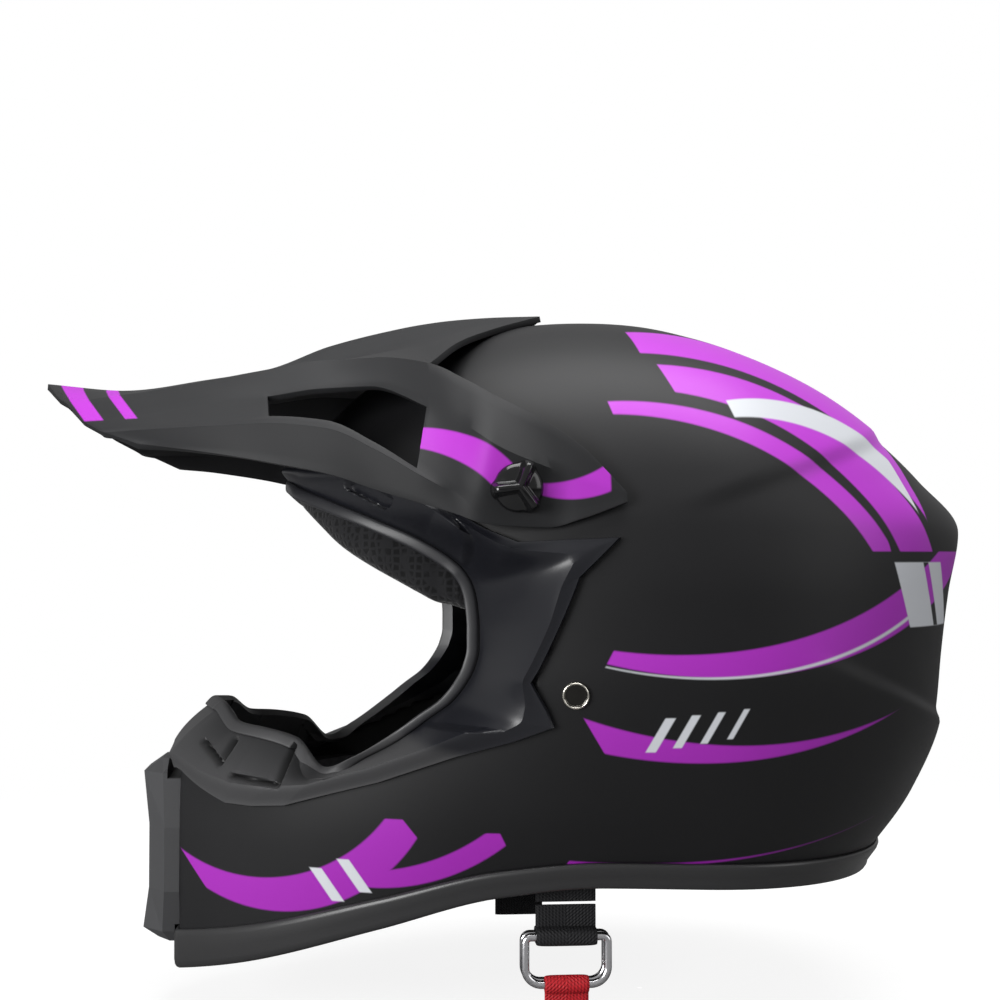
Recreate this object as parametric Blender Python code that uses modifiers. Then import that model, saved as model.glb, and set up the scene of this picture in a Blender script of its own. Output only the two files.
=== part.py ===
"""Motocross helmet: shell, tilting peak, rubber mouldings, liners, pads and double-ring chin strap.

+X points forward, +Y to the wearer's left and +Z up. The origin is the middle of the head space.
"""

import math

import bmesh
import bpy
import numpy as np
from mathutils import Matrix, Vector

MM = 0.001
FIT = 0.3 * MM                    # gap kept between pieces that touch

# Shell: superellipse sections from the crown down to the lower edge.
# height at the ear, front reach, rear reach, half width, widest station, share of the edge's drop
SHELL_SECTIONS = np.array((
    (113.8, 28.0, 28.0, 0.0, 28.0, 0.00),
    (111.2, 57.0, -3.0, 34.0, 26.0, 0.00),
    (105.0, 80.0, -26.0, 58.0, 23.0, 0.00),
    (96.0, 99.0, -48.5, 77.0, 20.0, 0.00),
    (83.5, 117.5, -71.5, 93.0, 15.0, 0.00),
    (67.0, 133.5, -93.5, 106.0, 10.0, 0.00),
    (48.0, 145.5, -113.5, 115.0, 6.0, 0.00),
    (28.0, 156.0, -129.5, 120.5, 3.0, 0.00),
    (4.0, 166.5, -124.5, 123.0, 0.0, 0.00),
    (-20.0, 178.0, -121.0, 122.5, -2.0, 0.04),
    (-44.0, 192.5, -118.5, 119.0, -4.0, 0.16),
    (-72.0, 203.0, -108.0, 112.0, -5.0, 0.52),
    (-97.5, 203.0, -89.0, 101.0, -5.0, 1.00),
)) * np.array((MM, MM, MM, MM, MM, 1.0))
LAST_LEVEL = len(SHELL_SECTIONS) - 1
ROUND_POWER = 2.1                 # superellipse power of the crown and the back
CHIN_POWER = 1.36                 # power of the width towards the chin, which makes it a wedge
CHIN_BLEND = (6.0, 11.0)          # levels between which the crown's power turns into the chin's
EDGE_LINE = np.array(((-92, -100.5), (-31, -98.5), (30, -97), (66, -101), (109.5, -114.5), (158.5, -131.5),
                      (195, -141.5))) * MM     # lower edge seen from the side
CHIN_FLAT_X = 186.5 * MM          # flat front of the chin bar
SHELL_WALL = 4.0 * MM
SHELL_ROWS = 20
SHELL_COLUMNS = 54
CREASE_START = (12.0 * MM, 32.0 * MM)     # upper side crease: where it begins, seen from the side
CREASE_SLOPE = -0.33
CREASE_RISE = 2.2 * MM
CREASE_EDGE = 10.0 * MM           # width of its step
CREASE_FADE = 46.0 * MM
CREASE_GROW = 40.0 * MM           # length over which it rises out of the plain side
LIP_START = (-122.0 * MM, -46.0 * MM)     # ledge low on the back: its place on the middle line
LIP_SLOPE = 0.42
LIP_RISE = 2.4 * MM
LIP_EDGE = 8.0 * MM
LIP_FADE = 34.0 * MM
LIP_GROW = (-36.0 * MM, 50.0 * MM)        # where it begins on the side, and the length over which it rises

# Eye port: shell cut, outer edge of the moulding and inner lip, from the brow centre to the nose centre
PORT_BROW_Z = 51.0 * MM
PORT_BROW_X = 140.0 * MM
PORT_NOSE_X = 192.0 * MM
CUT_REACH = 300.0 * MM            # cutters end this far out
PORT_NOSE_Z = -56.5 * MM
PORT_CUT = np.array(((135.5, 49.5), (118, 45.5), (100, 39.5), (88, 33), (76, 24), (67, 17), (57, 12),
                     (54, 4), (55, -6), (59.5, -17), (63, -24), (66, -30.5), (71, -37), (79, -43),
                     (92, -49), (111.5, -57), (133, -64.5), (149, -67), (161.5, -67), (174, -64),
                     (183, -60))) * MM
TRIM_BROW_Z = 57.0 * MM
TRIM_NOSE_Z = -61.0 * MM
TRIM_EDGE = np.array(((135.5, 54.5), (118, 51.5), (100, 45), (86, 36), (72, 27.5), (61, 23),
                      (26.5, 24.5), (40.5, 11), (46.5, -4), (54, -20.5), (57, -25.5), (51.5, -35),
                      (49, -41), (62, -46), (82, -52), (109, -62.5), (143, -73.5), (155.5, -75),
                      (165.5, -75), (175, -71), (184, -65.5))) * MM
TRIM_LIP = np.array(((145.5, 0, 44), (141.5, 40, 40.5), (127.5, 62, 34), (111, 75, 27), (95, 81, 19.5),
                     (86, 83, 14), (82, 84, 10.5), (79.5, 84, 6), (78, 84, -1), (77.5, 84, -8),
                     (77.5, 84, -15), (79, 84, -21.5), (82.5, 84, -28), (87.5, 83, -34), (95, 81, -39.5),
                     (103.5, 78, -46), (118.5, 68, -56), (129.5, 58, -61), (140, 47, -51),
                     (152, 39, -48), (162.5, 29, -46.5), (169.5, 15, -40), (174.5, 0, -38.5))) * MM
TRIM_SEAT = 1.3 * MM              # bond line under its flange
TRIM_PLAY = 1.4 * MM              # gap between it and the cut edge of the shell
TRIM_FLANGE = 2.8 * MM            # thickness of the moulding over the shell
TRIM_SWELL = 5.0 * MM             # height of its rounded strips at the port
TRIM_PANEL = (4.6, 13.6)          # listed stations between which the side panel is sunk for a goggle strap
TRIM_PANEL_STEP = 0.6             # stations that the step into the panel takes
TRIM_BULGE = 1.5 * MM             # crown of the strips between the shell's cut and the lip
TRIM_SINK = 3.0 * MM              # hollow of the panel there
TRIM_LIP_WIDTH = 4.5 * MM
TRIM_STEPS = 2                    # stations between two listed ones

# Lower edge trim
EDGE_TRIM_RISE = 0.26             # levels that its legs reach up the shell
EDGE_TRIM_WALL = 1.8 * MM
EDGE_TRIM_BASE = 3.4 * MM

# Mouth vent on the flat front of the chin
VENT_TOP_Z = -62.5 * MM
VENT_BOTTOM_Z = -134.0 * MM
VENT_TOP_HALF = 21.0 * MM
VENT_MID_HALF = 25.0 * MM
VENT_BOTTOM_HALF = 20.0 * MM
VENT_DEPTH = 15.5 * MM            # lips of the frame stand this far in front of the shell
VENT_LAP = 7.0 * MM               # its top laps this far over the eye port moulding
VENT_HOLLOW = 2.4 * MM            # the middle lies this far behind the lips
VENT_SLOT_COUNT = 4
VENT_SLOT_HEIGHT = 5.0 * MM
VENT_SLOT_PITCH = 9.6 * MM
VENT_SLOT_HALF = 11.0 * MM
MOUTH_HALF = 18.0 * MM            # opening in the shell behind the frame
MOUTH_TOP_Z = -78.0 * MM
MOUTH_BOTTOM_Z = -121.0 * MM
MESH_THICK = 1.2 * MM
MESH_COLUMNS = 4
MESH_ROWS = 5
MESH_WIRE = 1.0 * MM

# Peak: lines from the front edge backwards, on the left half
PEAK_SHEET = 2.4 * MM
EAR_STAND = 9.5 * MM              # ears' flat outer faces stand this far outside the shell at the pivot
EAR_STATION = 8                   # from this station on, side places are measured from the ears' faces
PEAK_RIDGE = np.array(((243.5, 0, 88.5), (212, 0, 86), (180, 0, 89.5), (154, 0, 94), (129, 0, 104.5),
                       (108, 0, 110.5), (93, 0, 113.4), (79, 0, 115.4), (62, 0, 116.4),
                       (44.5, 0, 116.7))) * MM
PEAK_TONGUE = np.array(((239, 11, 84), (208, 17, 84.5), (179, 20, 88.5), (153.5, 21, 93), (129, 21, 102.5),
                        (107, 21, 108.5), (92, 21, 111.7), (79, 21, 113.6), (62, 21, 115), (44.5, 21, 115.7))) * MM
PEAK_VALLEY = np.array(((236, 18, 81), (206, 29, 82.5), (178, 34, 86), (154, 36, 89.5), (130, 36, 94),
                        (109, 40, 98), (93, 44, 101.5), (80, 40, 106), (63, 30, 111.8),
                        (44.5, 24, 115.2))) * MM
PEAK_HEM = np.array(((80, 66, 99), (63, 42, 108), (44.5, 26, 115))) * MM   # free sides of the tongue
PEAK_FOLD = np.array(((232, 25, 78.5), (203, 38, 81.5), (177, 49, 85), (154.5, 57, 88.5), (131, 63, 92),
                      (111, 75, 92), (91.5, 88, 88.5), (80, 95.5, 82.5), (68, -14.2, 75), (53, -7.2, 66.5),
                      (39.5, -1.7, 56.5), (25, 2.8, 41))) * MM
PEAK_VENT_TOP = np.array(((223.5, 41, 70.5), (195.5, 57, 72.5), (171, 66, 76), (151, 71, 77.5),
                          (132, 76, 80), (113, 82, 80.5), (93, 95, 72), (82, 106, 66), (70, 0, 57),
                          (50, 0, 48.5), (40, 1.2, 45), (24.5, 3, 40))) * MM
PEAK_BAND = np.array(((214.5, 55, 65.5), (190.5, 72, 66.5), (167, 84, 67.5), (149.5, 91.5, 68.5),
                      (129, 100, 66.5), (112, 106, 58.5), (97, 111, 49), (84, 115.5, 41), (74, 0, 34.5),
                      (52, 0, 33.5), (40, 1.6, 35.2), (24.5, 3.2, 38.5))) * MM
PEAK_EDGE = np.array(((198, 74, 59.5), (180.5, 83, 57), (162, 91, 54), (146.5, 98, 51), (127.5, 104, 47),
                      (110, 108, 41), (97, 112, 37), (84, 116, 33), (73.5, 0, 29.5), (52, 0, 28.2),
                      (40, 2, 31.2), (24.5, 3.4, 37))) * MM
PEAK_SPLIT = 6                    # station where the tongue and the arms part
PEAK_VENT = (3, 6)                # stations between which the side is open
PEAK_BAND_PROUD = 1.8 * MM        # the lower band stands proud of the sheet above it
PEAK_LEDGE = 0.16                 # share of the band's height that this step takes
PEAK_STEPS = 2

# Peak pivots: shell boss, insert, washer and finger screw on one lateral axis
PIVOT_X = 62.0 * MM
PIVOT_Z = 42.0 * MM
WASHER_THICK = 1.5 * MM
WASHER_R = 8.0 * MM
BOSS_R = 9.5 * MM
BOSS_DEPTH = 10.0 * MM            # bosses reach this far below the shell's outer face
PIVOT_CUT = 40.0 * MM             # half length of the cutters on the axis
SCREW_R = 3.0 * MM
SCREW_GRIP = 10.0 * MM            # length of the screw inside the insert
KNOB_R = 9.5 * MM
KNOB_BASE = 4.6 * MM
FIN_RISE = 3.6 * MM
FIN_WIDTH = 4.4 * MM
FIN_START = 7.0                   # turn of the first fin, in degrees
INSERT_R = 4.6 * MM
INSERT_FLANGE_R = 7.5 * MM
INSERT_FLANGE = 1.6 * MM

# Liners, given as depths below the shell's outer face
EPS_DEPTH = 5.3 * MM
EPS_THICK = 20.7 * MM
LINING_DEPTH = 32.0 * MM
LINING_THICK = 9.0 * MM
EPS_LOWER = ((0, 61), (46, 57), (60, 48), (68, 38), (80, -14), (96, -24), (118, -31), (128, -46), (180, -58))
LINING_LOWER = ((0, 66), (46, 62), (60, 54), (70, 42), (82, 6), (98, -8), (130, -36), (180, -44))
LINING_CHANNELS = 6
LINING_GROOVE = 4.0 * MM
LINER_ROWS = 10
LINER_COLUMNS = 32
CHIN_FOAM_DEPTH = 5.4 * MM
CHIN_FOAM_THICK = 12.0 * MM
CHIN_FOAM_COLUMNS = 8             # columns of the shell that it covers on each side of the middle
CHIN_FOAM_TOP_Z = -72.0 * MM
CHIN_FOAM_DROP = 15.0 * MM        # its lower side stays this far above the shell's edge
CHEEK_ANGLES = (72.0, 116.0)
CHEEK_HEIGHTS = (-34.0 * MM, -86.0 * MM)
CHEEK_THICK = 30.0 * MM
CHEEK_GROOVE = 0.22               # depth of the sewn channel, against the pad's middle
CHEEK_RIM = 0.34                  # thickness left at the pad's border, against its middle
NECK_ROLL_R = 9.0 * MM
NECK_ROLL_Z = -82.0 * MM
NECK_ROLL_ANGLES = (122.0, 238.0)

# Chin strap
RIVET_X = 42.0 * MM
RIVET_Z = -30.0 * MM
RIVET_HEAD_R = 4.9 * MM
RIVET_HEAD = 1.5 * MM
RIVET_SHANK_R = 2.5 * MM
RIVET_CLEAR = 0.3 * MM
ANCHOR_SIZE = (20.0 * MM, 16.0 * MM, 1.2 * MM)
ANCHOR_DEPTH = 5.2 * MM
WEBBING_WIDTH = 22.0 * MM
WEBBING_THICK = 1.8 * MM
WEBBING_TOP_Z = -36.0 * MM
STRAP_HINGE_Z = -108.0 * MM
STRAP_LEFT_LENGTH = 11.0 * MM
STRAP_RIGHT_LENGTH = 40.0 * MM
RING_WIRE_R = 1.5 * MM
RING_HALF = 15.0 * MM
RING_DEPTH = 17.0 * MM
RING_CORNER = 6.0 * MM
RING_SPACING = 5.4 * MM
LOOP_WALL = 1.6 * MM
TAB_WIDTH = 16.0 * MM
TAB_LENGTH = 20.0 * MM
TAB_THICK = 1.6 * MM


for old in list(bpy.data.objects):
    bpy.data.objects.remove(old, do_unlink=True)
helmet = bpy.data.collections.new("motocross_helmet")
cutters = bpy.data.collections.new("cutters")
for group in (helmet, cutters):
    bpy.context.scene.collection.children.link(group)


def finish(name, colour, roughness, metallic=0.0):
    """Principled material of one colour."""
    material = bpy.data.materials.new(name)
    material.use_nodes = True
    shader = material.node_tree.nodes["Principled BSDF"]
    shader.inputs["Base Color"].default_value = (*colour, 1.0)
    shader.inputs["Roughness"].default_value = roughness
    shader.inputs["Metallic"].default_value = metallic
    return material


MATTE_BLACK = finish("matte_black_paint", (0.020, 0.020, 0.022), 0.50)
PEAK_CHARCOAL = finish("peak_charcoal", (0.035, 0.036, 0.040), 0.55)
BLACK_RUBBER = finish("black_rubber", (0.018, 0.019, 0.022), 0.38)
VENT_GREY = finish("vent_grey", (0.040, 0.042, 0.046), 0.55)
GLOSS_BLACK = finish("gloss_black", (0.010, 0.010, 0.011), 0.12)
BRIGHT_STEEL = finish("bright_steel", (0.72, 0.72, 0.74), 0.22, 1.0)
FOAM_GREY = finish("foam_grey", (0.06, 0.06, 0.065), 0.85)
LINING_BLACK = finish("lining_black", (0.016, 0.016, 0.018), 0.90)
WEBBING_BLACK = finish("webbing_black", (0.014, 0.014, 0.015), 0.75)
TAB_RED = finish("tab_red", (0.60, 0.02, 0.03), 0.60)


def add_object(name, mesh, material=None, group=None):
    """Wrap a mesh as a named part, or as a hidden cutter when it has no material."""
    part = bpy.data.objects.new(name, mesh)
    (group or (helmet if material else cutters)).objects.link(part)
    if material:
        mesh.materials.append(material)
        mesh.shade_smooth()
        mesh.set_sharp_from_angle(angle=math.radians(35))
    else:
        part.hide_render = True
        part.display_type = "WIRE"
    return part


def mesh_of(name, points, faces):
    """Mesh from points and faces, with its doubles merged and its faces turned outwards."""
    mesh = bpy.data.meshes.new(name)
    mesh.from_pydata([tuple(map(float, point)) for point in points], [], faces)
    shape = bmesh.new()
    shape.from_mesh(mesh)
    bmesh.ops.remove_doubles(shape, verts=shape.verts, dist=0.01 * MM)
    bmesh.ops.dissolve_degenerate(shape, dist=0.01 * MM, edges=shape.edges)
    bmesh.ops.recalc_face_normals(shape, faces=shape.faces)
    shape.to_mesh(mesh)
    shape.free()
    return mesh


def grid_faces(rows, columns, wrap=False, skip=None):
    """Quads of a grid of points listed row by row."""
    last = columns if wrap else columns - 1
    return [(r * columns + c, r * columns + (c + 1) % columns,
             (r + 1) * columns + (c + 1) % columns, (r + 1) * columns + c)
            for r in range(rows - 1) for c in range(last) if not (skip and skip(r, c))]


def box_mesh(name, low, high):
    """Box between two corners."""
    shape = bmesh.new()
    bmesh.ops.create_cube(shape, size=1.0)
    low, high = Vector(low), Vector(high)
    spread = high - low
    bmesh.ops.transform(shape, matrix=Matrix.Translation((low + high) / 2) @ Matrix.Diagonal(
        (*spread, 1.0)), verts=shape.verts)
    mesh = bpy.data.meshes.new(name)
    shape.to_mesh(mesh)
    shape.free()
    return mesh


def rod_mesh(name, radius, start, end, sides=32):
    """Cylinder along local Z between two heights."""
    shape = bmesh.new()
    bmesh.ops.create_cone(shape, cap_ends=True, segments=sides, radius1=radius, radius2=radius,
                          depth=end - start)
    bmesh.ops.translate(shape, verts=shape.verts, vec=(0, 0, (start + end) / 2))
    mesh = bpy.data.meshes.new(name)
    shape.to_mesh(mesh)
    shape.free()
    return mesh


def turned(name, profile, material, steps=24, ring=False):
    """Turned piece about local Z; the profile runs down the outer side, and a ring's profile is closed."""
    mesh = bpy.data.meshes.new(name)
    edges = [(i, i + 1) for i in range(len(profile) - 1)] + ([(len(profile) - 1, 0)] if ring else [])
    mesh.from_pydata([(radius, 0.0, height) for radius, height in profile], [], edges)
    part = add_object(name, mesh, material)
    screw = part.modifiers.new("turn", "SCREW")
    screw.steps = screw.render_steps = steps
    screw.use_merge_vertices = True
    screw.merge_threshold = 0.01 * MM
    screw.use_normal_flip = True
    return part


def combine(part, tool, operation="DIFFERENCE"):
    """Boolean modifier with a cutter or an added body."""
    boolean = part.modifiers.new(tool.name, "BOOLEAN")
    boolean.object = tool
    boolean.operation = operation
    boolean.solver = "EXACT"


def solidify(part, thickness, offset=-1.0):
    """Give an open sheet its wall."""
    wall = part.modifiers.new("wall", "SOLIDIFY")
    wall.thickness = thickness
    wall.offset = offset
    wall.use_even_offset = True


def smooth_through(knots, values, at, flat_start=False):
    """Monotone cubic through the knots, read at any place."""
    knots = np.asarray(knots, float)
    values = np.asarray(values, float)
    at = np.asarray(at, float)
    step = np.diff(knots)
    slope = np.diff(values) / step
    tangent = np.concatenate((slope[:1], np.zeros(len(slope) - 1), slope[-1:]))
    agree = slope[:-1] * slope[1:] > 0
    pair = np.where(agree, slope[:-1] + slope[1:], 1.0)
    tangent[1:-1] = np.where(agree, 2 * slope[:-1] * slope[1:] / pair, 0.0)
    if flat_start:
        tangent[0] = 0.0
    k = np.clip(np.searchsorted(knots, at, side="right") - 1, 0, len(step) - 1)
    f = (at - knots[k]) / step[k]
    return (values[k] * (1 + 2 * f) * (1 - f) ** 2 + step[k] * tangent[k] * f * (1 - f) ** 2
            + values[k + 1] * f * f * (3 - 2 * f) + step[k] * tangent[k + 1] * f * f * (f - 1))


def ease(value):
    """Smooth step from 0 to 1."""
    value = np.clip(value, 0.0, 1.0)
    return value * value * (3 - 2 * value)


def shell_base(level, angle):
    """Point of the plain shell: level runs from crown to lower edge, angle from the front round the left."""
    level, angle = np.broadcast_arrays(np.asarray(level, float), np.asarray(angle, float))
    knots = np.arange(LAST_LEVEL + 1)
    height = smooth_through(knots, SHELL_SECTIONS[:, 0], level, flat_start=True)
    front, rear, half, widest, drop = (smooth_through(knots, SHELL_SECTIONS[:, k], level)
                                       for k in range(1, 6))
    cosine, sine = np.cos(angle), np.sin(angle)
    chin = ease((level - CHIN_BLEND[0]) / (CHIN_BLEND[1] - CHIN_BLEND[0])) * (cosine > 0)
    along = ROUND_POWER
    across = ROUND_POWER + (CHIN_POWER - ROUND_POWER) * chin
    reach = np.where(cosine > 0, front - widest, widest - rear)
    x = widest + reach * np.sign(cosine) * np.abs(cosine) ** (2 / along)
    x = np.minimum(x, CHIN_FLAT_X)
    y = half * np.sign(sine) * np.abs(sine) ** (2 / across)
    edge = smooth_through(EDGE_LINE[:, 0], EDGE_LINE[:, 1], np.clip(x, *EDGE_LINE[[0, -1], 0]))
    z = height + drop * (edge - SHELL_SECTIONS[-1, 0])
    return np.stack((x, y, z), axis=-1)


def shell_normal(level, angle):
    """Outward direction of the plain shell."""
    level = np.clip(level, 0.02, LAST_LEVEL - 0.02)
    step = 0.01
    down = shell_base(level + step, angle) - shell_base(level - step, angle)
    side = shell_base(level, angle + step) - shell_base(level, angle - step)
    normal = np.cross(down, side)
    return normal / np.linalg.norm(normal, axis=-1, keepdims=True)


def shell_relief(point):
    """Height of the shell's creases above its plain form."""
    x, z = point[..., 0], point[..., 2]
    above = z - (CREASE_START[1] + CREASE_SLOPE * (x - CREASE_START[0]))
    crease = ease(above / CREASE_EDGE + 0.5) * np.exp(-(np.maximum(above, 0) / CREASE_FADE) ** 2)
    crease = crease * ease((CREASE_START[0] - x) / CREASE_GROW) * CREASE_RISE
    below = LIP_START[1] - z + LIP_SLOPE * (x - LIP_START[0])
    ledge = ease(below / LIP_EDGE) * np.exp(-(np.maximum(below, 0) / LIP_FADE) ** 2)
    ledge = ledge * ease((LIP_GROW[0] - x) / LIP_GROW[1]) * LIP_RISE
    return crease + ledge


def shell_point(level, angle, depth=0.0, relief=False):
    """Point at a depth below the shell's outer face."""
    base = shell_base(level, angle)
    rise = shell_relief(base) if relief else 0.0
    return base + shell_normal(level, angle) * np.expand_dims(rise - depth + 0.0 * base[..., 0], -1)


LEVEL_SCAN = np.linspace(0.05, LAST_LEVEL, 600)


def level_at(angle, height):
    """Level at which the shell reaches a height at one angle."""
    scan = shell_base(LEVEL_SCAN, angle)[:, 2]
    return float(np.interp(-height, -scan, LEVEL_SCAN))


def angle_at(x, height):
    """Angle, on the left, at which the shell passes a place seen from the side."""
    angles = np.linspace(0.0, math.pi, 361)
    passed = [shell_base(level_at(a, height), a)[0] for a in angles[::6]]
    return float(np.interp(-x, -np.array(passed), angles[::6]))


def on_shell(x, height, depth=0.0):
    """Point, normal and surface place of the shell's left side at a place seen from the side."""
    angle = angle_at(x, height)
    level = level_at(angle, height)
    return shell_point(level, angle, depth), shell_normal(level, angle)


def frame_on(origin, direction):
    """Placement whose local Z runs along a direction."""
    return Matrix.Translation(Vector(origin)) @ Vector(direction).to_track_quat("Z", "Y").to_matrix().to_4x4()


SIDES = (("left", 1), ("right", -1))
pivot_shell_y = float(on_shell(PIVOT_X, PIVOT_Z)[0][1])
ear_face_y = pivot_shell_y + EAR_STAND
pivot_face_y = ear_face_y - PEAK_SHEET - FIT - WASHER_THICK - FIT
boss_length = pivot_face_y - pivot_shell_y + BOSS_DEPTH
screw_reach = PEAK_SHEET + WASHER_THICK + 3 * FIT + SCREW_GRIP
rivet_point, rivet_normal = on_shell(RIVET_X, RIVET_Z)


def lateral(side, y):
    """Placement on the peak's axis with local Z pointing outwards on one side."""
    return Matrix.Translation((PIVOT_X, side * y, PIVOT_Z)) @ Matrix.Rotation(-side * math.pi / 2, 4, "X")


def rivet_frame(side):
    """Placement of a strap rivet with local Z pointing out of the shell."""
    flip = np.array((1, side, 1))
    return frame_on(rivet_point * flip, rivet_normal * flip)


# Cutters shared by the shell and the liners
port_outline = ([(CUT_REACH, PORT_BROW_Z), (PORT_BROW_X, PORT_BROW_Z)] + [tuple(p) for p in PORT_CUT]
                + [(PORT_NOSE_X, PORT_NOSE_Z), (CUT_REACH, PORT_NOSE_Z)])


def port_cutter():
    """Prism of the eye port's outline, right through the helmet."""
    count = len(port_outline)
    points = [(x, side * CUT_REACH, z) for side in (-1, 1) for x, z in port_outline]
    faces = [tuple(range(count)), tuple(range(count, 2 * count))]
    faces += [(k, (k + 1) % count, count + (k + 1) % count, count + k) for k in range(count)]
    return add_object("port_cutter", mesh_of("port_cutter", points, faces))


def outer_shell():
    """Moulded shell: a solidified skin cut by the eye port, the mouth and the fastener holes."""
    levels = np.append(np.linspace(0.0, LAST_LEVEL - EDGE_TRIM_RISE, SHELL_ROWS), LAST_LEVEL)
    angles = np.linspace(0, 2 * math.pi, SHELL_COLUMNS, endpoint=False)
    points = shell_point(levels[1:, None], angles[None, :], relief=True).reshape(-1, 3)
    crown = len(points)
    points = np.vstack((points, shell_base(0.0, 0.0)[None]))
    faces = grid_faces(SHELL_ROWS, SHELL_COLUMNS, wrap=True)
    faces += [(crown, (c + 1) % SHELL_COLUMNS, c) for c in range(SHELL_COLUMNS)]
    mesh = mesh_of("outer_shell", points, faces)
    shell = add_object("outer_shell", mesh, MATTE_BLACK)
    solidify(shell, SHELL_WALL)
    for label, side in SIDES:
        boss = add_object("boss_" + label, rod_mesh("boss", BOSS_R, -boss_length, 0.0))
        boss.matrix_world = lateral(side, pivot_face_y)
        combine(shell, boss, "UNION")
    for label, side in SIDES:
        hole = add_object("insert_hole_" + label, rod_mesh("insert_hole", INSERT_R + FIT, -PIVOT_CUT, PIVOT_CUT))
        hole.matrix_world = lateral(side, pivot_face_y)
        combine(shell, hole)
        rivet = add_object("rivet_hole_" + label,
                           rod_mesh("rivet_hole", RIVET_SHANK_R + RIVET_CLEAR, -10 * MM, 10 * MM, 16))
        rivet.matrix_world = rivet_frame(side)
        combine(shell, rivet)
    combine(shell, port_cutter())
    mouth = add_object("mouth_cutter", box_mesh("mouth_cutter", (CHIN_FLAT_X - 20 * MM, -MOUTH_HALF, MOUTH_BOTTOM_Z),
                                                (CHIN_FLAT_X + 20 * MM, MOUTH_HALF, MOUTH_TOP_Z)))
    combine(shell, mouth)
    return shell


def port_stations():
    """Outer edge and cut of the moulding as surface places, and its lip, from brow centre to nose centre."""
    def places(listed, brow_z, nose_z):
        inner = [(angle_at(x, z), z) for x, z in listed]
        return np.array([(0.0, brow_z)] + inner + [(0.0, nose_z)])

    edge = places(TRIM_EDGE, TRIM_BROW_Z, TRIM_NOSE_Z)
    cut = places(PORT_CUT, PORT_BROW_Z, PORT_NOSE_Z)
    listed = np.arange(len(edge))
    fine = np.linspace(0, len(edge) - 1, (len(edge) - 1) * TRIM_STEPS + 1)
    edge = np.stack([np.interp(fine, listed, edge[:, k]) for k in range(2)], axis=1)
    cut = np.stack([np.interp(fine, listed, cut[:, k]) for k in range(2)], axis=1)
    lip = np.stack([smooth_through(listed, TRIM_LIP[:, k], fine) for k in range(3)], axis=1)
    into, out = (ease((fine - place) / TRIM_PANEL_STEP + 0.5) for place in TRIM_PANEL)
    return edge, cut, lip, into * (1 - out)


def trim_profile(edge, cut, lip, panel):
    """Closed section of the moulding at one station: flange, strip or sunk panel, lip and the wall behind."""
    shares = np.linspace(0.0, 1.0, 5)
    angles = edge[0] + (cut[0] - edge[0]) * shares
    levels = np.array([level_at(a, z) for a, z in zip(angles, edge[1] + (cut[1] - edge[1]) * shares)])
    surface = shell_point(levels, angles, relief=True)
    normal = shell_normal(levels, angles)
    cut_point = surface[-1]
    inward = (lip - cut_point) * np.array((1.0, 0.0, 1.0))
    inward = inward / np.linalg.norm(inward)
    back = -normal[-1] * (SHELL_WALL + 2 * MM)
    back = back + inward * (max(0.0, -float(back @ inward)) + TRIM_PLAY)
    under = surface + normal * TRIM_SEAT
    under[-1] += inward * TRIM_PLAY
    rise = TRIM_FLANGE + (TRIM_SWELL - TRIM_FLANGE) * ease(shares) * (1 - panel)
    over = surface + normal * rise[:, None]
    across = cut_point - lip
    across = across / np.linalg.norm(across)
    lip_outer = lip + across * TRIM_LIP_WIDTH + np.array((1.0, 0.0, 0.0)) * 0.5 * MM
    lip_back = lip + across * 1.5 * MM - np.array((1.0, 0.0, 0.0)) * TRIM_LIP_WIDTH
    slope = (over[-1] + lip_outer) / 2 + normal[-1] * (TRIM_BULGE * (1 - panel) - TRIM_SINK * panel)
    return np.vstack((under[::-1], over, [slope, lip_outer, lip, lip_back, cut_point + back]))


def eyeport_trim():
    """Rubber moulding round the eye port, one closed loop of sections, mirrored to the right."""
    half = [trim_profile(*station) for station in zip(*port_stations())]
    for end in (0, -1):
        half[end][:, 1] = 0.0
    flip = np.array((1.0, -1.0, 1.0))
    loop = half + [section * flip for section in half[-2:0:-1]]
    count = len(half[0])
    points = np.vstack(loop)
    faces = []
    for r in range(len(loop)):
        after = (r + 1) % len(loop)
        faces += [(r * count + c, r * count + (c + 1) % count, after * count + (c + 1) % count,
                   after * count + c) for c in range(count)]
    add_object("eyeport_trim", mesh_of("eyeport_trim", points, faces), BLACK_RUBBER)


def bottom_edge_trim():
    """Rubber channel on the lower edge: a U section carried round the shell."""
    angles = np.linspace(0, 2 * math.pi, SHELL_COLUMNS, endpoint=False)
    high = LAST_LEVEL - EDGE_TRIM_RISE
    inner = SHELL_WALL + 2 * FIT
    down = np.array((0.0, 0.0, -1.0))
    sections = (
        shell_point(high, angles, -FIT, True),
        shell_point(high, angles, -FIT - EDGE_TRIM_WALL, True),
        shell_point(LAST_LEVEL, angles, -FIT - EDGE_TRIM_WALL, True),
        shell_point(LAST_LEVEL, angles, -FIT, True) + down * EDGE_TRIM_BASE,
        shell_point(LAST_LEVEL, angles, inner, True) + down * EDGE_TRIM_BASE,
        shell_point(LAST_LEVEL, angles, inner + EDGE_TRIM_WALL, True),
        shell_point(high, angles, inner + EDGE_TRIM_WALL, True),
        shell_point(high, angles, inner, True),
        shell_point(LAST_LEVEL, angles, inner, True) + down * FIT,
        shell_point(LAST_LEVEL, angles, -FIT, True) + down * FIT,
    )
    points = np.stack(sections, axis=0)
    points = np.concatenate((points, points[:1]), axis=0).reshape(-1, 3)
    faces = grid_faces(len(sections) + 1, SHELL_COLUMNS, wrap=True)
    add_object("bottom_edge_trim", mesh_of("bottom_edge_trim", points, faces), BLACK_RUBBER)


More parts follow.
